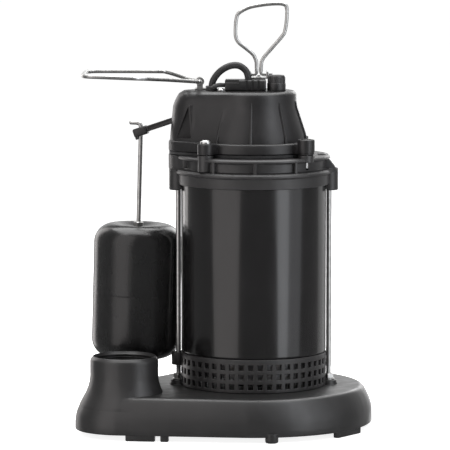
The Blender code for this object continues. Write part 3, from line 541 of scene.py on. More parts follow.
# Pieces with a slightly different black of their own
NODE_LOOKS = {
    "upper_collar": moulded("collar_look", (0.019, 0.0185, 0.019), 0.38, ior=1.56),
    "inlet_strainer": moulded("strainer_look", (0.02, 0.0195, 0.0198), 0.4),
    "float_arm": moulded("arm_look", (0.0115, 0.011, 0.0115), 0.36),
}


def show(made, node):
    """Lets a finished shape stand for its CAD node, with that node's body, slot and material."""
    made.name = node + "_fine"
    made.data.materials.clear()
    made.data.materials.append(NODE_LOOKS.get(node, LOOKS[SLOT_OF[node]]))
    made.data.shade_smooth()
    made.data.set_sharp_from_angle(angle=math.radians(32))
    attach(made, frame["nodes"][node]["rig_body"])
    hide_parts(node)


# ---- outlines

def two_circle_outline(big, big_r, small, small_r, big_steps, small_steps):
    """An arc round each of two circles, and the two straight lines that touch both."""
    along = big - small
    heading = math.atan2(along.y, along.x)
    tangent = math.acos((small_r - big_r) / along.length)
    straight = 8
    points = []
    for centre, radius, start, sweep, steps in (
            (big, big_r, heading - tangent, 2 * tangent, big_steps),
            (small, small_r, heading + tangent, math.tau - 2 * tangent, small_steps)):
        run = []
        for step in range(steps + 1):
            angle = start + sweep * step / steps
            run.append(Vector((centre.x + radius * math.cos(angle), centre.y + radius * math.sin(angle))))
        if points:
            points += [points[-1].lerp(run[0], step / straight) for step in range(1, straight)]
        points += run
    points += [points[-1].lerp(points[0], step / straight) for step in range(1, straight)]
    return [tuple(point) for point in points]


def base_outline(inset, port_inset=None):
    port_r = BASE_R_PORT - (inset if port_inset is None else port_inset)
    return two_circle_outline(MOTOR, BASE_R_MOTOR - inset, PORT, port_r, 110, 40)


def cap_outline(main_r, lobe_r):
    return two_circle_outline(MOTOR, main_r, polar(LOBE_DIST, LOBE_ANGLE), lobe_r, 84, 36)


# ---- base

BASE_TOP = 36
RIM_WALL = 7
PLATE_SEAT = 10.5
FOOT_H = 5
SOCKET_R = 28.9
BORE_R = 24.4
TIE_PAD_TOP = 39.5


def base_skin():
    """The upright rim, the rounded shoulder and the flat top. The shoulder starts lower round the port."""
    profile = ((0.5, FOOT_H), (0.15, 5.2), (0, 5.7), (0, 11), (0.1, 15.4), (0.4, 18.2), (1.1, 21),
               (2.3, 24.4), (3.8, 27.8), (5.3, 30.8), (6.7, 33.2), (7.5, 34.3), (8.4, 35.1), (9.4, 35.6),
               (10.6, 35.9), (12, BASE_TOP))
    outlines = []
    for inset, height in profile:
        sooner = 0.9 * max(0, min(1, (height - 12) / 12))
        outlines.append(base_outline(inset, inset + sooner))
    return loft(outlines, [height for inset, height in profile])


def socket_body():
    """The chamfered socket, and its foot that flares out into the base's top."""
    upper = [(0, SOCKET_TOP, 0), (26.3, SOCKET_TOP, 0.4), (28.6, 64.4, 0.5), (SOCKET_R, 62.6, 0.5)]
    flare = ((SOCKET_R, 50), (29.15, 47.4), (29.6, 44.6), (30.4, 41.6), (31.5, 38.6), (32.9, 35.6),
             (34.4, 32.8), (35.9, 30), (37.2, 27.4), (38.2, 25.2), (38.4, 20), (0, 20))
    return turned(rounded(upper + [(radius, height, 0) for radius, height in flare]), PORT, 96)


def socket_bore():
    """The socket's inside, with a run of pipe thread below its chamfer."""
    profile = [(0, SOCKET_TOP + 3), (BORE_R + 4, SOCKET_TOP + 3), (BORE_R + 0.8, SOCKET_TOP - 1.6)]
    turns = 8
    pitch = 2.2
    root_r = BORE_R + 1.1
    for turn in range(turns):
        crest = SOCKET_TOP - 2.4 - turn * pitch
        profile += [(BORE_R, crest), (BORE_R, crest - 0.4), (root_r, crest - 1.2), (root_r, crest - 1.4)]
    profile += [(BORE_R, 46.2), (BORE_R, 44), (19.6, 43.4), (19, 42.8), (19, 14), (0, 14)]
    return turned(profile, PORT, 96)


def foot_pad(centre, size, heading):
    return block(stood(centre, FOOT_H / 2 + 1, heading), (*size, FOOT_H + 2), 1.2)


def feet():
    """On each side a long tab and a short one by the socket, a round nub, and a long pad by the motor."""
    lean = math.degrees(math.acos((BASE_R_PORT - BASE_R_MOTOR) / (MOTOR.x - PORT.x)))
    tangent = Vector((math.sin(math.radians(lean)), math.cos(math.radians(lean))))
    tab = polar(BASE_R_PORT - 4, -lean, PORT)
    made = []
    for side in (1, -1):
        flip = Vector((1, side))
        made.append(foot_pad((tab + tangent * 19) * flip, (25, 5.6), side * (90 - lean)))
        made.append(foot_pad((tab + tangent * 39.5) * flip, (7, 5.6), side * (90 - lean)))
        nub = polar(BASE_R_MOTOR - 4, -105) * flip
        made.append(turned(rounded([(0, 8, 0), (5.6, 8, 0), (5.6, 0, 2.2), (0, 0, 0)]), nub, 32))
        pad = polar(BASE_R_MOTOR - 4, -60) * flip
        made.append(foot_pad(pad, (34, 5.6), side * 30))
    return made


def make_base():
    """The housing: its skin and socket, a pad under each tie rod, and the volute and its channel inside."""
    base = join(base_skin(), socket_body())
    pads = [turned(rounded([(0, TIE_PAD_TOP, 0), (6.9, TIE_PAD_TOP, 0.8), (7, 37.6, 0), (7.9, 36.1, 0),
                            (7.9, 33, 0), (0, 33, 0)]), rod, 40) for rod in TIE_RODS]
    join(base, *pads)
    cut(base, loft([base_outline(RIM_WALL)] * 2, (-2, PLATE_SEAT)))
    join(base, *feet())
    volute_end = MOTOR.x - 30
    channel = block(stood(Vector(((volute_end + PORT.x) / 2, 0)), 17.5), (volute_end - PORT.x, 26, 21))
    cut(base, pin(52, 5, 30), pin(19, 25, 45), channel)
    cut(base, socket_bore())
    cut(base, *holes(ROD_HOLE_R, 24, 50, TIE_RODS))
    show(base, "base_housing")


def make_bottom_plate():
    """A ribbed cover, a little inside the rim, with sunk screw holes."""
    plate = loft([base_outline(RIM_WALL + inset) for inset in (1.1, 0.4, 0.4)], (5.5, 6.2, 10.2))
    cut(plate, ring(88, 84, 4, 6.3), ring(60, 56, 4, 6.3))
    cut(plate, *holes(SCREW_HOLE_R, 3, 14, PLATE_SCREWS))
    show(plate, "bottom_plate")


# ---- strainer, shell

COLUMNS = 48
STRAINER_R = 62.3
STRAINER_WALL = 2.6
HOLE_ROWS = (41.5, 49.7, 57.9)
HOLE_H = 4.6
HOLE_W = 4.4
RIM_EASE = 0.35


def perforated_ring(outer, inner, bottom, top):
    """A ring with rows of square windows, whose rims are eased on the outside."""
    shape = bmesh.new()
    half = math.degrees(HOLE_W / 2 / outer)
    ease = math.degrees(RIM_EASE / outer)
    pitch = 360 / COLUMNS
    angles = []
    for column in range(COLUMNS):
        centre = (column + 0.5) * pitch
        angles += [centre - half - ease, centre - half, centre, centre + half, centre + half + ease]
    heights = [bottom, bottom + 0.4]
    for row in HOLE_ROWS:
        low_edge = row - HOLE_H / 2
        high_edge = row + HOLE_H / 2
        heights += [low_edge - RIM_EASE, low_edge, high_edge, high_edge + RIM_EASE]
    heights += [top - 0.4, top]
    count = len(angles)

    def in_window(index, level):
        return index % 5 in (1, 2) and level % 4 == 3 and 2 < level < len(heights) - 3

    def on_rim(index, level):
        return index % 5 in (1, 2, 3) and 3 <= level <= len(heights) - 4 and level % 4 in (3, 0)

    skins = []
    for radius, sink in ((outer, RIM_EASE), (inner, 0)):
        grid = []
        for level, height in enumerate(heights):
            row = []
            for index, angle in enumerate(angles):
                dip = sink if on_rim(index, level) or level in (0, len(heights) - 1) else 0
                place = polar(radius - dip, angle)
                row.append(shape.verts.new(Vector((place.x, place.y, height)) * MM))
            grid.append(row)
        skins.append(grid)

    def wall(first, second):
        """A face through the ring's thickness, between two (level, index) places."""
        shape.faces.new([skins[side][level][index] for side, (level, index)
                         in ((0, first), (0, second), (1, second), (1, first))])

    for index in range(count):
        after = (index + 1) % count
        for level in range(len(heights) - 1):
            spots = ((level, index), (level, after), (level + 1, after), (level + 1, index))
            if in_window(index, level):
                wall(spots[0], spots[1])
                wall(spots[3], spots[2])
                wall(*((spots[0], spots[3]) if index % 5 == 1 else (spots[1], spots[2])))
                continue
            for grid in skins:
                shape.faces.new([grid[row][column] for row, column in spots])
        for level in (0, len(heights) - 1):
            wall((level, index), (level, after))
    return as_object(shape)


def make_strainer():
    """The ring, an ear on the left tie rod, and notches that clear both rods and their nuts."""
    strainer = perforated_ring(STRAINER_R, STRAINER_R - STRAINER_WALL - 0.3, BASE_TOP + GAP, 64.7)
    ear = cut(pin(6, 52.5, 63.5, TIE_RODS[0], 40, 0.7), pin(SHELL_R - STRAINER_WALL + 0.9, 50, 66))
    join(strainer, ear)
    cut(strainer, *holes(ROD_HOLE_R, 34, 66, TIE_RODS))
    cut(strainer, *holes(7.4, 34, 47, TIE_RODS, 40))
    show(strainer, "inlet_strainer")


def make_shell():
    bottom, top = span("motor_shell")
    corners = [(SHELL_R - 0.3, top, 0.2), (SHELL_R, top - 1, 0), (SHELL_R, bottom + 1.2, 0.5),
               (SHELL_R - 0.5, bottom, 0.3), (SHELL_R - 1.4, bottom, 0), (SHELL_R - 1.4, top, 0)]
    show(turned(rounded(corners, 3, closed=True), MOTOR, 160), "motor_shell")


# ---- collar and cap

RIB_ANGLES = (-32.8, 0, 32.8)


def turned_point(out, across, degrees):
    angle = math.radians(degrees)
    return (MOTOR.x + out * math.cos(angle) - across * math.sin(angle),
            MOTOR.y + out * math.sin(angle) + across * math.cos(angle))


def collar_lug(rod, angle):
    """An ear for a tie rod, and the sloping web from it to the top ledge."""
    lug = turned(rounded([(0, 222.8, 0), (7.8, 222.8, 1.2), (7.8, 203.5, 1), (0, 203.5, 0)]), rod, 48)
    outlines = []
    for outer, half in ((71.4, 7.3), (71.2, 7.3), (69.8, 7.1), (61.4, 6.4), (60.3, 5.8)):
        corners = rounded([(55, -half, 0), (outer, -half, 1.6), (outer, half, 1.6), (55, half, 0)], 3, True)
        outlines.append([turned_point(out, across, angle) for out, across in corners])
    join(lug, loft(outlines, (219.8, 221.6, 223.6, 234.6, 235.2)))
    return lug


def collar_rib(angle):
    place = Matrix.Translation(Vector((62.6, 0, 226.6)))
    return block(stood(MOTOR, 0, angle) @ place, (5, 2.6, 13), 0.5)


def dome(radius, bottom, top, place):
    """A low round boss with a domed top."""
    rise = top - bottom
    profile = [(0, top), (radius * 0.35, top - rise * 0.06), (radius * 0.66, top - rise * 0.24),
               (radius * 0.88, top - rise * 0.5), (radius, top - rise * 0.8), (radius, bottom), (0, bottom)]
    return turned(profile, place, 40)


def make_collar():
    """A casting with two ledges, a bearing seat, ribs, lugs, and a lobe under the cap's."""
    corners = [(64, COLLAR_TOP, 0.3), (65.5, COLLAR_TOP - 1.5, 0.3), (65.5, 231.2, 0.5), (61.5, 230.6, 1.2),
               (61.5, 222.6, 1.2), (65.2, 222, 0.4), (67, 220.2, 0.4), (67, 218.6, 0.5),
               (65, 217.9, 0.8), (64.8, 209, 0.6), (62.4, 209, 0), (62.4, 214, 0), (16, 214, 0),
               (16, 211, 0), (11.3, 211, 0), (11.3, 222.5, 0), (16, 222.5, 0), (16, 219.5, 0),
               (46, 219.5, 0), (46, COLLAR_TOP, 0)]
    collar = turned(rounded(corners, 3, closed=True), MOTOR, 128)
    lobe = loft([cap_outline(52, 27.6)] * 2, (221.6, 233.6))
    cut(lobe, pin(50, 218, 238, MOTOR, 96))
    extras = [collar_lug(rod, TIE_ANGLE + 180 * number) for number, rod in enumerate(TIE_RODS)]
    extras += [collar_rib(TIE_ANGLE + 91 + half + offset) for half in (0, 180) for offset in RIB_ANGLES]
    for place in CAP_SCREWS:
        foot = 230.4 if place == sunk_screw_place() else 222.6
        extras.append(pin(6.6, foot, 236.6, place, 40, 0.6))
    extras += [dome(5.4, 222, 227.6, rod) for rod in TIE_RODS]
    extras.append(dome(3.4, 233, 237, view_place(48.6, 33.4)))
    extras.append(block(stood(view_place(-57.5, 22.6), 228, VIEW_AZIMUTH), (5.2, 5, 7.6), 0.9))
    join(collar, lobe, *extras)
    cut(collar, ring(SHELL_R + 0.5, 50, 198, 214.6, MOTOR, 96))
    cut(collar, *holes(ROD_HOLE_R, 198, 218.4, TIE_RODS))
    cut(collar, *holes(SCREW_HOLE_R, 224, 240, CAP_SCREWS))
    show(collar, "upper_collar")


def cap_rib(angle):
    """A thin raised line that follows the cone's slope."""
    outlines = []
    for out, half in ((47.4, 1.1), (45.6, 1), (38.1, 0.8), (37, 0.5)):
        corners = ((out - 4, -half), (out, -half), (out + 0.5, 0), (out, half), (out - 4, half))
        outlines.append([turned_point(run, across, angle) for run, across in corners])
    return loft(outlines, (245.5, 252, 274.4, 280))


def lobe_recess(depth_low, depth_high):
    """A three-cornered hollow in the lobe's front flank. Its floor leans back with the flank."""
    floor = [(-65.5, depth_low - 1.4, 248.6), (-53.4, depth_low, 248.6), (-55.6, depth_high, 275.5)]
    mouth = [(across - 2 if across < -60 else across, depth + 30, z) for across, depth, z in floor]
    return skin([[at(view_place(across, depth), z) for across, depth, z in loop] for loop in (floor, mouth)])


def lobe_ridge(ends, half):
    """A raised line on the lobe's front flank between two (across, depth, height) ends."""
    loops = []
    for across, depth, z in ends:
        spots = ((across - half, depth - 3), (across - half * 0.7, depth), (across + half * 0.7, depth),
                 (across + half, depth - 3))
        loops.append([at(view_place(*spot), z) for spot in spots])
    return skin(loops)


def make_cap():
    """A tapered shell with a lobe for the float switch, thin ribs, and a flange with a lug at each screw."""
    main_r = (46.8, 45, 41.1, 37.2, 36.8, 36.7, 36.6, 36.3, 34.6, 33.8)
    lobe_r = (26.8, 26, 24.9, 23.8, 22.2, 20.4, 18.6, 17.6, 14.6, 12)
    heights = (239, 252, 263.5, 275, 279.4, 283, 285.8, 286.4, 288.2, CAP_TOP)
    cap = loft([cap_outline(main, lobe) for main, lobe in zip(main_r, lobe_r)], heights)
    cut(cap, lobe_recess(9.6, 9.2))
    ridge = lobe_ridge(((-50.9, 18.6, 246), (-53, 15.4, 277)), 1.5)
    bevels = ((0.5, 237), (1, 237.7), (1, 244.1), (0.7, 245), (0.1, 245.7), (-0.8, 246))
    flange = loft([cap_outline(51 + out, 26.6 + out) for out, height in bevels],
                  [height for out, height in bevels])
    plug = lying_pin(view_place(42, 29.6), 241.4, 2.8, 8, VIEW_AZIMUTH - 54, 32, 0.5)
    lugs = [pin(7, 237, 246.2, place, 40, 0.8) for place in CAP_SCREWS]
    sunk = sunk_screw_place()
    lugs.append(cut(pin(7.4, 238, 249.8, sunk, 40, 1.2), pin(4.6, 246, 252, sunk, 40)))
    webs = []
    for place in CAP_SCREWS:
        out = place - MOTOR
        heading = math.degrees(math.atan2(out.y, out.x))
        centre = MOTOR + out.normalized() * 53
        webs.append(block(stood(centre, 241.4, heading), (13, 12.4, 8.4), 0.6))
    ribs = [cap_rib(angle) for angle in (-156, -117, -78, -39, 0, 39, 78)]
    join(cap, flange, plug, ridge, *lugs, *webs, *ribs)
    hollow_r = ((43, 18.6), (41.8, 18.2), (34.2, 17), (32, 12))
    cut(cap, loft([cap_outline(main, lobe) for main, lobe in hollow_r], (230, 252, 275, 284.5)))
    arm_slot = block(stood(polar(70, FLOAT_ANGLE), 265, FLOAT_ANGLE), (18, 8.6, 18.6))
    cut(cap, arm_slot, *holes(SCREW_HOLE_R, 234, 250, CAP_SCREWS))
    small_holes = holes(1.7, 280, 292, (GUIDE_SCREW, CAP_TOP_SCREW), 20)
    cut(cap, pin(3.4, 280, 292, LEAD_GLAND, 32), *small_holes)
    show(cap, "top_cap")


# ---- fasteners and rods

def make_pan_screw(node, head_h, shank_r, upward=False, sunk=0):
    """A cross-recessed screw whose head is up, unless it goes upward, and sits lower by sunk."""
    place = middle(node).xy
    head_r = half_width(node)
    bottom, top = span(node)
    top -= sunk
    if upward:
        under = bottom + head_h
        corners = [(0, top, 0), (shank_r, top, 0.4), (shank_r, under, 0), (head_r, under, 0.2),
                   (head_r, bottom + head_h * 0.5, 0.6), (head_r * 0.6, bottom, 0.5), (0, bottom, 0)]
        recess_z = (bottom - 1, bottom + head_h * 0.55)
    else:
        under = top - head_h
        corners = [(0, top, 0), (head_r * 0.6, top, 0.5), (head_r, top - head_h * 0.5, 0.6),
                   (head_r, under, 0.2), (shank_r, under, 0), (shank_r, bottom, 0.4), (0, bottom, 0)]
        recess_z = (top - head_h * 0.55, top + 1)
    screw = turned(rounded(corners, 3), place, 32)
    arm = (head_r * 1.15, head_r * 0.26, recess_z[1] - recess_z[0])
    cut(screw, join(*[block(stood(place, sum(recess_z) / 2, heading), arm) for heading in (20, 110)]))
    show(screw, node)


def threaded_rod(radius, bottom, top, place, thread_end):
    """A rod with thread grooves from near its foot up to thread_end."""
    pitch = 0.8
    profile = [(0, top), (radius - 0.4, top), (radius, top - 0.4)]
    height = thread_end
    while height - pitch > bottom + 1:
        profile += [(radius, height), (radius - 0.32, height - pitch * 0.5)]
        height -= pitch
    profile += [(radius, height), (radius, bottom + 0.4), (radius - 0.4, bottom), (0, bottom)]
    return turned(profile, place, 24)


def hex_nut(node, axis, corner_r, hole_r, bottom, top):
    """A six-sided nut with both faces chamfered."""
    flat_r = corner_r * math.cos(math.pi / 6)
    nut = turned([(corner_r, top), (corner_r, bottom), (hole_r, bottom), (hole_r, top)], axis, 6)
    corners = [(0, top + 0.01), (flat_r * 0.96, top + 0.01), (corner_r + 0.4, top - 1),
               (corner_r + 0.4, bottom + 1), (flat_r * 0.96, bottom - 0.01), (0, bottom - 0.01)]
    combine(nut, [turned(corners, axis, 48)], "INTERSECT")
    show(nut, node)


def make_tie_rods():
    """Each rod with the thread at its foot, its washer and its nut."""
    for number, place in enumerate(TIE_RODS, 1):
        rod, washer, nut = (f"tie_{part}_{number}" for part in ("rod", "rod_washer", "rod_nut"))
        bottom, top = span(rod)
        show(threaded_rod(half_width(rod), bottom, top, place, 51.5), rod)
        show(ring(5.2, ROD_HOLE_R, *span(washer), place, 40, 0.15), washer)
        hex_nut(nut, middle(nut).xy, half_width(nut), ROD_HOLE_R, *span(nut))


def make_screws():
    for number in range(1, 6):
        make_pan_screw(f"bottom_plate_screw_{number}", 2.8, 2, upward=True)
    for number in range(1, 5):
        make_pan_screw(f"cap_screw_{number}", 3.2, 2)
    make_pan_screw("handle_clip_screw", 0.7, 1.2, sunk=0.95)
    make_pan_screw("guide_clip_screw", 1.8, 1.2)
    make_pan_screw("cap_top_screw", 2.4, 1.4)


# ---- float

ARM_PIVOT_DIST = 56
ARM_PIVOT_Z = 267
ARM_LENGTH = 46
ARM_SLOPE = 18.8
FLOAT_LEAN = 1.6
FLOAT_R = 38
FLOAT_BOTTOM = 56
FLOAT_SEAM = 112
FLOAT_TOP = 172
ROD_R = 1.9
ROD_END = 10
EYE_Z = ARM_PIVOT_Z - ARM_LENGTH * math.sin(math.radians(ARM_SLOPE))
EYE = polar(ARM_PIVOT_DIST + ARM_LENGTH * math.cos(math.radians(ARM_SLOPE)), FLOAT_ANGLE)
OUTWARDS = polar(1, FLOAT_ANGLE, Vector((0, 0))).to_3d()
ACROSS_ARM = polar(1, FLOAT_ANGLE + 90, Vector((0, 0))).to_3d()


def hanging():
    """The float's own frame: its axis runs down from the arm's eye, leaning out a little."""
    eye = Matrix.Translation(Vector(at(EYE, EYE_Z)))
    lean = Matrix.Rotation(math.radians(-FLOAT_LEAN), 4, ACROSS_ARM)
    return eye @ lean @ Matrix.Translation(Vector((0, 0, -EYE_Z)))


def arc(centre_r, centre_z, radius, start, end, steps):
    """Points on a circle in the turning plane, from start to end degrees (0 is outward, 90 up)."""
    points = []
    for step in range(steps + 1):
        angle = math.radians(start + (end - start) * step / steps)
        points.append((centre_r + radius * math.cos(angle), centre_z + radius * math.sin(angle)))
    return points


def make_float():
    """Two glossy halves that meet at a fine seam, with a dished top."""
    top = FLOAT_TOP
    seam = FLOAT_SEAM
    bottom = FLOAT_BOTTOM
    wall = 2.2
    curve = 16
    hole = 2.2
    outer = [(hole, top - 2.6), (6.2, top - 2.6), (7.4, top - 2.3), (13, top - 1.3), (17, top - 0.45),
             (FLOAT_R - curve, top)]
    outer += arc(FLOAT_R - curve, top - curve, curve, 84, 0, 14)
    outer += [(FLOAT_R, seam + 0.9), (FLOAT_R - 0.04, seam + 0.4), (FLOAT_R - 0.16, seam + 0.04)]
    inner = [(FLOAT_R - wall, seam + 0.04), (FLOAT_R - wall, top - 17), (FLOAT_R - wall - 5, top - 7.5),
             (20, top - 2.8), (hole, top - 5.2)]
    show(turned(outer + inner, hanging(), 112), "float_upper")
    lower = [(0, bottom + wall), (18, bottom + wall), (FLOAT_R - wall - 4, bottom + 7),
             (FLOAT_R - wall, bottom + 17), (FLOAT_R - wall, seam - 0.04), (FLOAT_R - 0.16, seam - 0.04),
             (FLOAT_R - 0.04, seam - 0.4), (FLOAT_R, seam - 0.9)]
    lower += arc(FLOAT_R - curve, bottom + curve, curve, 0, -90, 14)
    lower.append((0, bottom))
    show(turned(lower, hanging(), 112), "float_lower")
    hex_nut("float_rod_nut", hanging(), 4.62, hole, FLOAT_TOP - 2.3, FLOAT_TOP + 1.6)


def make_rod():
    """The float rod, bent over outwards on top of the arm's eye."""
    top = EYE_Z + 7
    bend = 3.6
    points = [Vector((0, 0, z)) for z in (FLOAT_TOP - 13, FLOAT_TOP - 11, 200, 230, top - bend)]
    for step in range(1, 9):
        angle = math.radians(90 * step / 8)
        rise = Vector((0, 0, top - bend + bend * math.sin(angle)))
        points.append(rise + OUTWARDS * bend * (1 - math.cos(angle)))
    points.append(Vector((0, 0, top)) + OUTWARDS * (ROD_END - 0.6))
    pose = hanging()
    show(wire([pose @ point for point in points], ROD_R, ACROSS_ARM, 20), "float_rod")


def arm_pose():
    """The arm's own frame, on its pivot, with X along the arm and down its slope."""
    pivot = stood(polar(ARM_PIVOT_DIST, FLOAT_ANGLE), ARM_PIVOT_Z, FLOAT_ANGLE)
    return pivot @ Matrix.Rotation(math.radians(ARM_SLOPE), 4, "Y")


def arm_block(centre, size, ease):
    return block(arm_pose() @ Matrix.Translation(Vector(centre)), size, ease)


def arm_pin(radius, length):
    profile = rod_profile(radius, -length / 2, length / 2, 0.4, 2)
    return turned(profile, arm_pose() @ Matrix.Rotation(math.pi / 2, 4, "X"), 40)


def make_arm():
    """A ribbed bar from its hub to the forked eye that the rod passes through."""
    bar = arm_block((17, 0, 0), (56, 6, 5), 0.7)
    eye = arm_block((ARM_LENGTH, 0, -0.4), (12.4, 10, 7.4), 1.5)
    prong = arm_block((ARM_LENGTH + 4.9, 0, -4.4), (2.6, 5, 3.6), 0.6)
    join(bar, arm_pin(5, 6.6), eye, prong)
    cut(bar, *[arm_block((23.5, side, 0), (30, 3.6, 2.6), 0.4) for side in (4, -4)])
    cut(bar, arm_block((ARM_LENGTH, 0, 0), (8.6, 4.8, 20), 0), arm_pin(2.1, 20))
    show(bar, "float_arm")
    show(arm_pin(1.8, 15.6), "arm_pivot_pin")


# ---- top gear

BLOCK_Z = (CAP_TOP + GAP, 298)
LEAD_R = 2.9
SWITCH_LEAD_R = 1.9
ACROSS_TIE = (-TIE_ALONG.y, TIE_ALONG.x, 0)
BLOCK_PORT = tie_plane(4.6, 4)
HANDLE_DEPTH = -6
HANDLE_PIVOT_Z = 302
WIRE_R = 1.7
CLIP_MIDDLE = -4.3
CLIP_SCREW = middle("handle_clip_screw").xy


def make_cord_block():
    """The moulded block, with a notch, three grooves in its front, and a socket for each lead."""
    block_h = BLOCK_Z[1] - BLOCK_Z[0]
    body = tie_block(7, 1.5, BLOCK_Z[0] + block_h / 2, (35.2, 23, block_h), 1.4)
    cut(body, tie_block(19.5, 10, 299, (14, 9, 7), 0.8))
    cut(body, *[tie_block(u, 13.6, 294, (2, 3.2, 14)) for u in (-4, 1, 6)])
    cut(body, pin(LEAD_R + GAP, 292, 300, BLOCK_PORT, 32), pin(1.5, 293, 300, CLIP_SCREW, 20))
    cut(body, lying_pin(tie_plane(24, 8), 293.6, 2.3, 10, TIE_ANGLE))
    show(body, "cord_block")


def make_cord_gland():
    """A fluted knob on the block's right, open at the top for a cord."""
    place = middle("cord_gland").xy
    top = high("cord_gland").z
    profile = rounded([(0, top - 1.2, 0), (4.2, top - 1.2, 0), (4.6, top, 0.3), (6.9, top, 1),
                       (7.6, 299.6, 0.4), (7.6, 295.4, 0.3), (8, 294.8, 0.3), (8, BLOCK_Z[0], 0.3),
                       (0, BLOCK_Z[0], 0)])
    gland = turned(profile, place, 64)
    flutes = 20
    spots = [polar(8.1, 360 / flutes * step, place) for step in range(flutes)]
    cut(gland, merge(*holes(0.8, 295.6, 304, spots, 12)))
    show(gland, "cord_gland")


def make_lead_bushing():
    bottom, top = span("lead_bushing")
    corners = [(4.3, top, 0.5), (4.7, top - 1.2, 0.2), (5.2, bottom, 0.2), (3.2, bottom, 0), (3.2, top, 0.3)]
    show(turned(rounded(corners, 3, closed=True), LEAD_GLAND, 40), "lead_bushing")


def make_leads():
    """The thick lead that arches from the cap into the block, and the thin switch lead beside it."""
    arch = ((34.4, 3, 297.6), (28.6, 3.2, 305), (20.4, 3.6, 309.6), (12.4, 4, 309.8), (6.6, 4, 305.4))
    corners = [(*LEAD_GLAND, 284), (*LEAD_GLAND, 290)]
    corners += [(*tie_plane(u, v), z) for u, v, z in arch]
    corners += [(*BLOCK_PORT, 299), (*BLOCK_PORT, 293)]
    show(wire(smooth_route(corners, 6), LEAD_R, ACROSS_TIE, 24), "jumper_lead")
    low_run = ((35, 10.6, 290.9), (33.4, 10, 292.6), (29.5, 8.4, 293.6), (25, 8, 293.6), (20.5, 8, 293.6))
    thin = smooth_route([(*tie_plane(u, v), z) for u, v, z in low_run], 6)
    show(wire(thin, SWITCH_LEAD_R, (0, 0, 1), 18), "switch_lead")


def make_handle():
    """A wire loop whose two feet turn outwards in the clip's ears."""
    pivot = HANDLE_PIVOT_Z
    left = [(-7, pivot), (-3, pivot), (0.6, pivot), (2.2, pivot + 1.6), (2.4, 308), (2, 313.5),
            (-0.6, 319), (-6.4, 324), (-12.6, 329), (-15.2, 333.6), (-15.6, 341), (-14.8, 349.6),
            (-12.6, 354.4), (-5, 358.8)]
    right = [(4, 360.9), (16, 362.3), (25, 362), (28, 359.2), (28.2, 350), (26.8, 340),
             (24.6, 335), (16, 325), (7.8, 315.2), (6.4, 309), (6.4, pivot + 1.6), (8, pivot),
             (11.6, pivot), (15.4, pivot)]
    route = smooth_route([(*tie_plane(-u, HANDLE_DEPTH), z) for u, z in left + right], 5)
    show(wire(route, WIRE_R, ACROSS_TIE, 18), "handle")


def make_handle_clip():
    """A plate on the block with an ear at each end, bored for the handle's feet."""
    base_z = BLOCK_Z[1] + GAP
    clip = tie_block(CLIP_MIDDLE, HANDLE_DEPTH, base_z + 0.6, (21.6, 7, 1.2), 0.3)
    join(clip, *[tie_block(u, HANDLE_DEPTH, base_z + 3.4, (2.6, 7, 6.6), 0.8) for u in (3.2, -11.8)])
    bore = lying_pin(tie_plane(CLIP_MIDDLE, HANDLE_DEPTH), HANDLE_PIVOT_Z, WIRE_R + GAP, 30, TIE_ANGLE)
    cut(clip, bore, pin(1.5, 297, 301, CLIP_SCREW, 20))
    show(clip, "handle_clip")


GUIDE_PIVOT_Z = 296
GUIDE_POINTS = ((46, -2.5, 0), (46.6, 0, 0), (48.8, 2.2, 0.2), (56, 15, 1.4), (70, 38, 3.8),
                (86, 64, 6.2), (93, 72.5, 7), (103, 77.2, 7.6), (130, 78, 8.7),
                (138.5, 75.4, 8.9), (142.4, 68, 9.1), (142.8, 49, 9.4), (142.4, 30, 9.8),
                (138.5, 22.6, 10), (130, 20, 10.1), (82, 20, 10), (74, 17, 9.2),
                (64, 4, 5.4), (54, -13, 1), (48.4, -18.2, 0.2), (46, -16, 0))


def make_guide():
    """The riser guide: one closed wire loop that rises outwards. Its inner end turns in the clip's barrel."""
    corners = [(*tie_plane(u, v), GUIDE_PIVOT_Z + rise) for u, v, rise in GUIDE_POINTS]
    route = smooth_route(corners, 5, closed=True)
    show(wire(route, WIRE_R, (0, 0, 1), 18, closed=True), "pipe_guide")
    barrel = tie_plane(46, -9)
    across = TIE_ANGLE + 90
    clip = lying_pin(barrel, GUIDE_PIVOT_Z, 3.8, 8, across, 48, 0.4)
    join(clip, tie_block(46, -9, 291.8, (5, 7.4, 6)),
         tie_block(42.5, -9, CAP_TOP + 1, (16, 7, 1.4), 0.4))
    bore = lying_pin(barrel, GUIDE_PIVOT_Z, WIRE_R + GAP, 20, across)
    cut(clip, bore, pin(1.5, 286, 293, GUIDE_SCREW, 20))
    show(clip, "guide_clip")


# ---- inside

def finish_inner_nodes():
    """Every CAD node that still shows gets its slot's material."""
    for name, node in frame["nodes"].items():
        if not node.hide_render:
            node.data.materials.clear()
            node.data.materials.append(LOOKS[SLOT_OF[name]])


# ---- studio

CAMERA_LENS = 281.5
CAMERA_DISTANCE = 3           # metres, as the rest of this section
CAMERA_HEIGHT = 0.485
AIM_LEFT = 0.0245
AIM_HEIGHT = 0.173
LAMP_AIM = 0.16
FLOOR_GLOW = 0.85
WORLD_GLOW = 0.2


def around(azimuth, distance, height):
    """A point round the motor, in metres. Azimuth 0 is towards the camera, and positive to its right."""
    angle = math.radians(VIEW_AZIMUTH + azimuth - 90)
    x = MOTOR.x * MM + distance * math.cos(angle)
    y = MOTOR.y * MM + distance * math.sin(angle)
    return Vector((x, y, height))


def set_up(name, data, location, target):
    """Puts a camera or a lamp at a point, facing another."""
    made = bpy.data.objects.new(name, data)
    bpy.context.scene.collection.objects.link(made)
    made.location = location
    made.rotation_euler = (target - made.location).to_track_quat("-Z", "Y").to_euler()
    return made


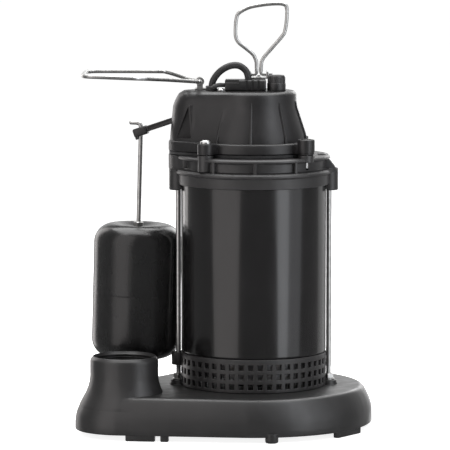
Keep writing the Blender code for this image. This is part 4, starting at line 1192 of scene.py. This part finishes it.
def make_camera():
    data = bpy.data.cameras.new("camera")
    data.lens = CAMERA_LENS
    data.sensor_width = 36
    data.clip_end = 100
    right = (around(90, 1, 0) - around(90, 0, 0)).normalized()
    target = Vector(at(MOTOR * MM, AIM_HEIGHT)) - right * AIM_LEFT
    bpy.context.scene.camera = set_up("camera", data, around(0, CAMERA_DISTANCE, CAMERA_HEIGHT), target)


def softbox(name, azimuth, distance, height, size, power, colour=(1, 1, 1)):
    data = bpy.data.lights.new(name, "AREA")
    data.shape = "RECTANGLE"
    data.size, data.size_y = size
    data.energy = power
    data.color = colour
    lamp = set_up(name, data, around(azimuth, distance, height), Vector(at(MOTOR * MM, LAMP_AIM)))
    lamp.visible_camera = False
    return lamp


def keep_off(lamp, names):
    """Keeps a lamp's light off the named objects, as a flag on a stand would."""
    shaded = bpy.data.collections.new(lamp.name + "_shaded")
    for name in names:
        shaded.objects.link(bpy.data.objects[name])
    lamp.light_linking.receiver_collection = shaded
    for member in shaded.collection_objects:
        member.light_linking.link_state = "EXCLUDE"


def make_floor():
    """A wide pale floor that glows a little."""
    shape = bmesh.new()
    bmesh.ops.create_grid(shape, x_segments=1, y_segments=1, size=40)
    floor = as_object(shape, "floor")
    look = bpy.data.materials.new("floor_look")
    look.use_nodes = True
    values = {"Base Color": (0.86, 0.86, 0.86, 1), "Roughness": 0.9, "Specular IOR Level": 0,
              "Emission Color": (1, 1, 1, 1), "Emission Strength": FLOOR_GLOW}
    for socket, value in values.items():
        look.node_tree.nodes["Principled BSDF"].inputs[socket].default_value = value
    floor.data.materials.append(look)
    floor.visible_glossy = False
    return floor


def make_backdrop():
    """A white backdrop that only the camera sees."""
    shape = bmesh.new()
    bmesh.ops.create_icosphere(shape, subdivisions=4, radius=38)
    backdrop = as_object(shape, "backdrop")
    look = bpy.data.materials.new("backdrop_look")
    look.use_nodes = True
    glow = look.node_tree.nodes.new("ShaderNodeEmission")
    glow.inputs["Strength"].default_value = 1
    look.node_tree.links.new(glow.outputs[0], look.node_tree.nodes["Material Output"].inputs["Surface"])
    backdrop.data.materials.append(look)
    for flag in ("visible_diffuse", "visible_glossy", "visible_transmission", "visible_shadow"):
        setattr(backdrop, flag, False)
    return backdrop


def make_lights():
    """Softboxes round the pump, each for one band of light on its glossy sides, and one overhead."""
    world = bpy.data.worlds.new("studio")
    bpy.context.scene.world = world
    world.use_nodes = True
    background = world.node_tree.nodes["Background"]
    background.inputs["Color"].default_value = (1, 1, 1, 1)
    background.inputs["Strength"].default_value = WORLD_GLOW
    softbox("left_box", -44, 0.95, 0.5, (0.86, 1.7), 4.7, (1, 0.95, 0.94))
    cool = (0.94, 0.96, 1)
    right_lamps = (softbox("right_wide", 56, 0.52, 0.36, (0.47, 1), 1.15, cool),
                   softbox("right_core", 45.5, 0.5, 0.36, (0.18, 1), 0.9, cool))
    for lamp in right_lamps:
        keep_off(lamp, ("float_upper_fine", "float_lower_fine"))
    softbox("right_edge", 138, 1.2, 0.4, (0.7, 1.5), 1.2)
    softbox("rim_left", -138, 1.3, 0.35, (0.5, 1.5), 4.4, (1, 0.96, 0.95))
    softbox("rim_right", 162, 1.3, 0.35, (0.4, 1.5), 4.6)
    softbox("back_low", 180, 1.7, 0.5, (2.2, 0.7), 4)
    softbox("overhead", 180, 0.3, 1.5, (1.7, 1.5), 34)


def set_view():
    scene = bpy.context.scene
    scene.view_settings.view_transform = "Standard"
    scene.view_settings.look = "None"


# ---- the scene

make_camera()
make_base()
make_bottom_plate()
make_strainer()
make_shell()
make_collar()
make_cap()
make_tie_rods()
make_screws()
make_float()
make_rod()
make_arm()
make_cord_block()
make_cord_gland()
make_lead_bushing()
make_leads()
make_handle()
make_handle_clip()
make_guide()
finish_inner_nodes()
make_floor()
make_backdrop()
make_lights()
set_view()
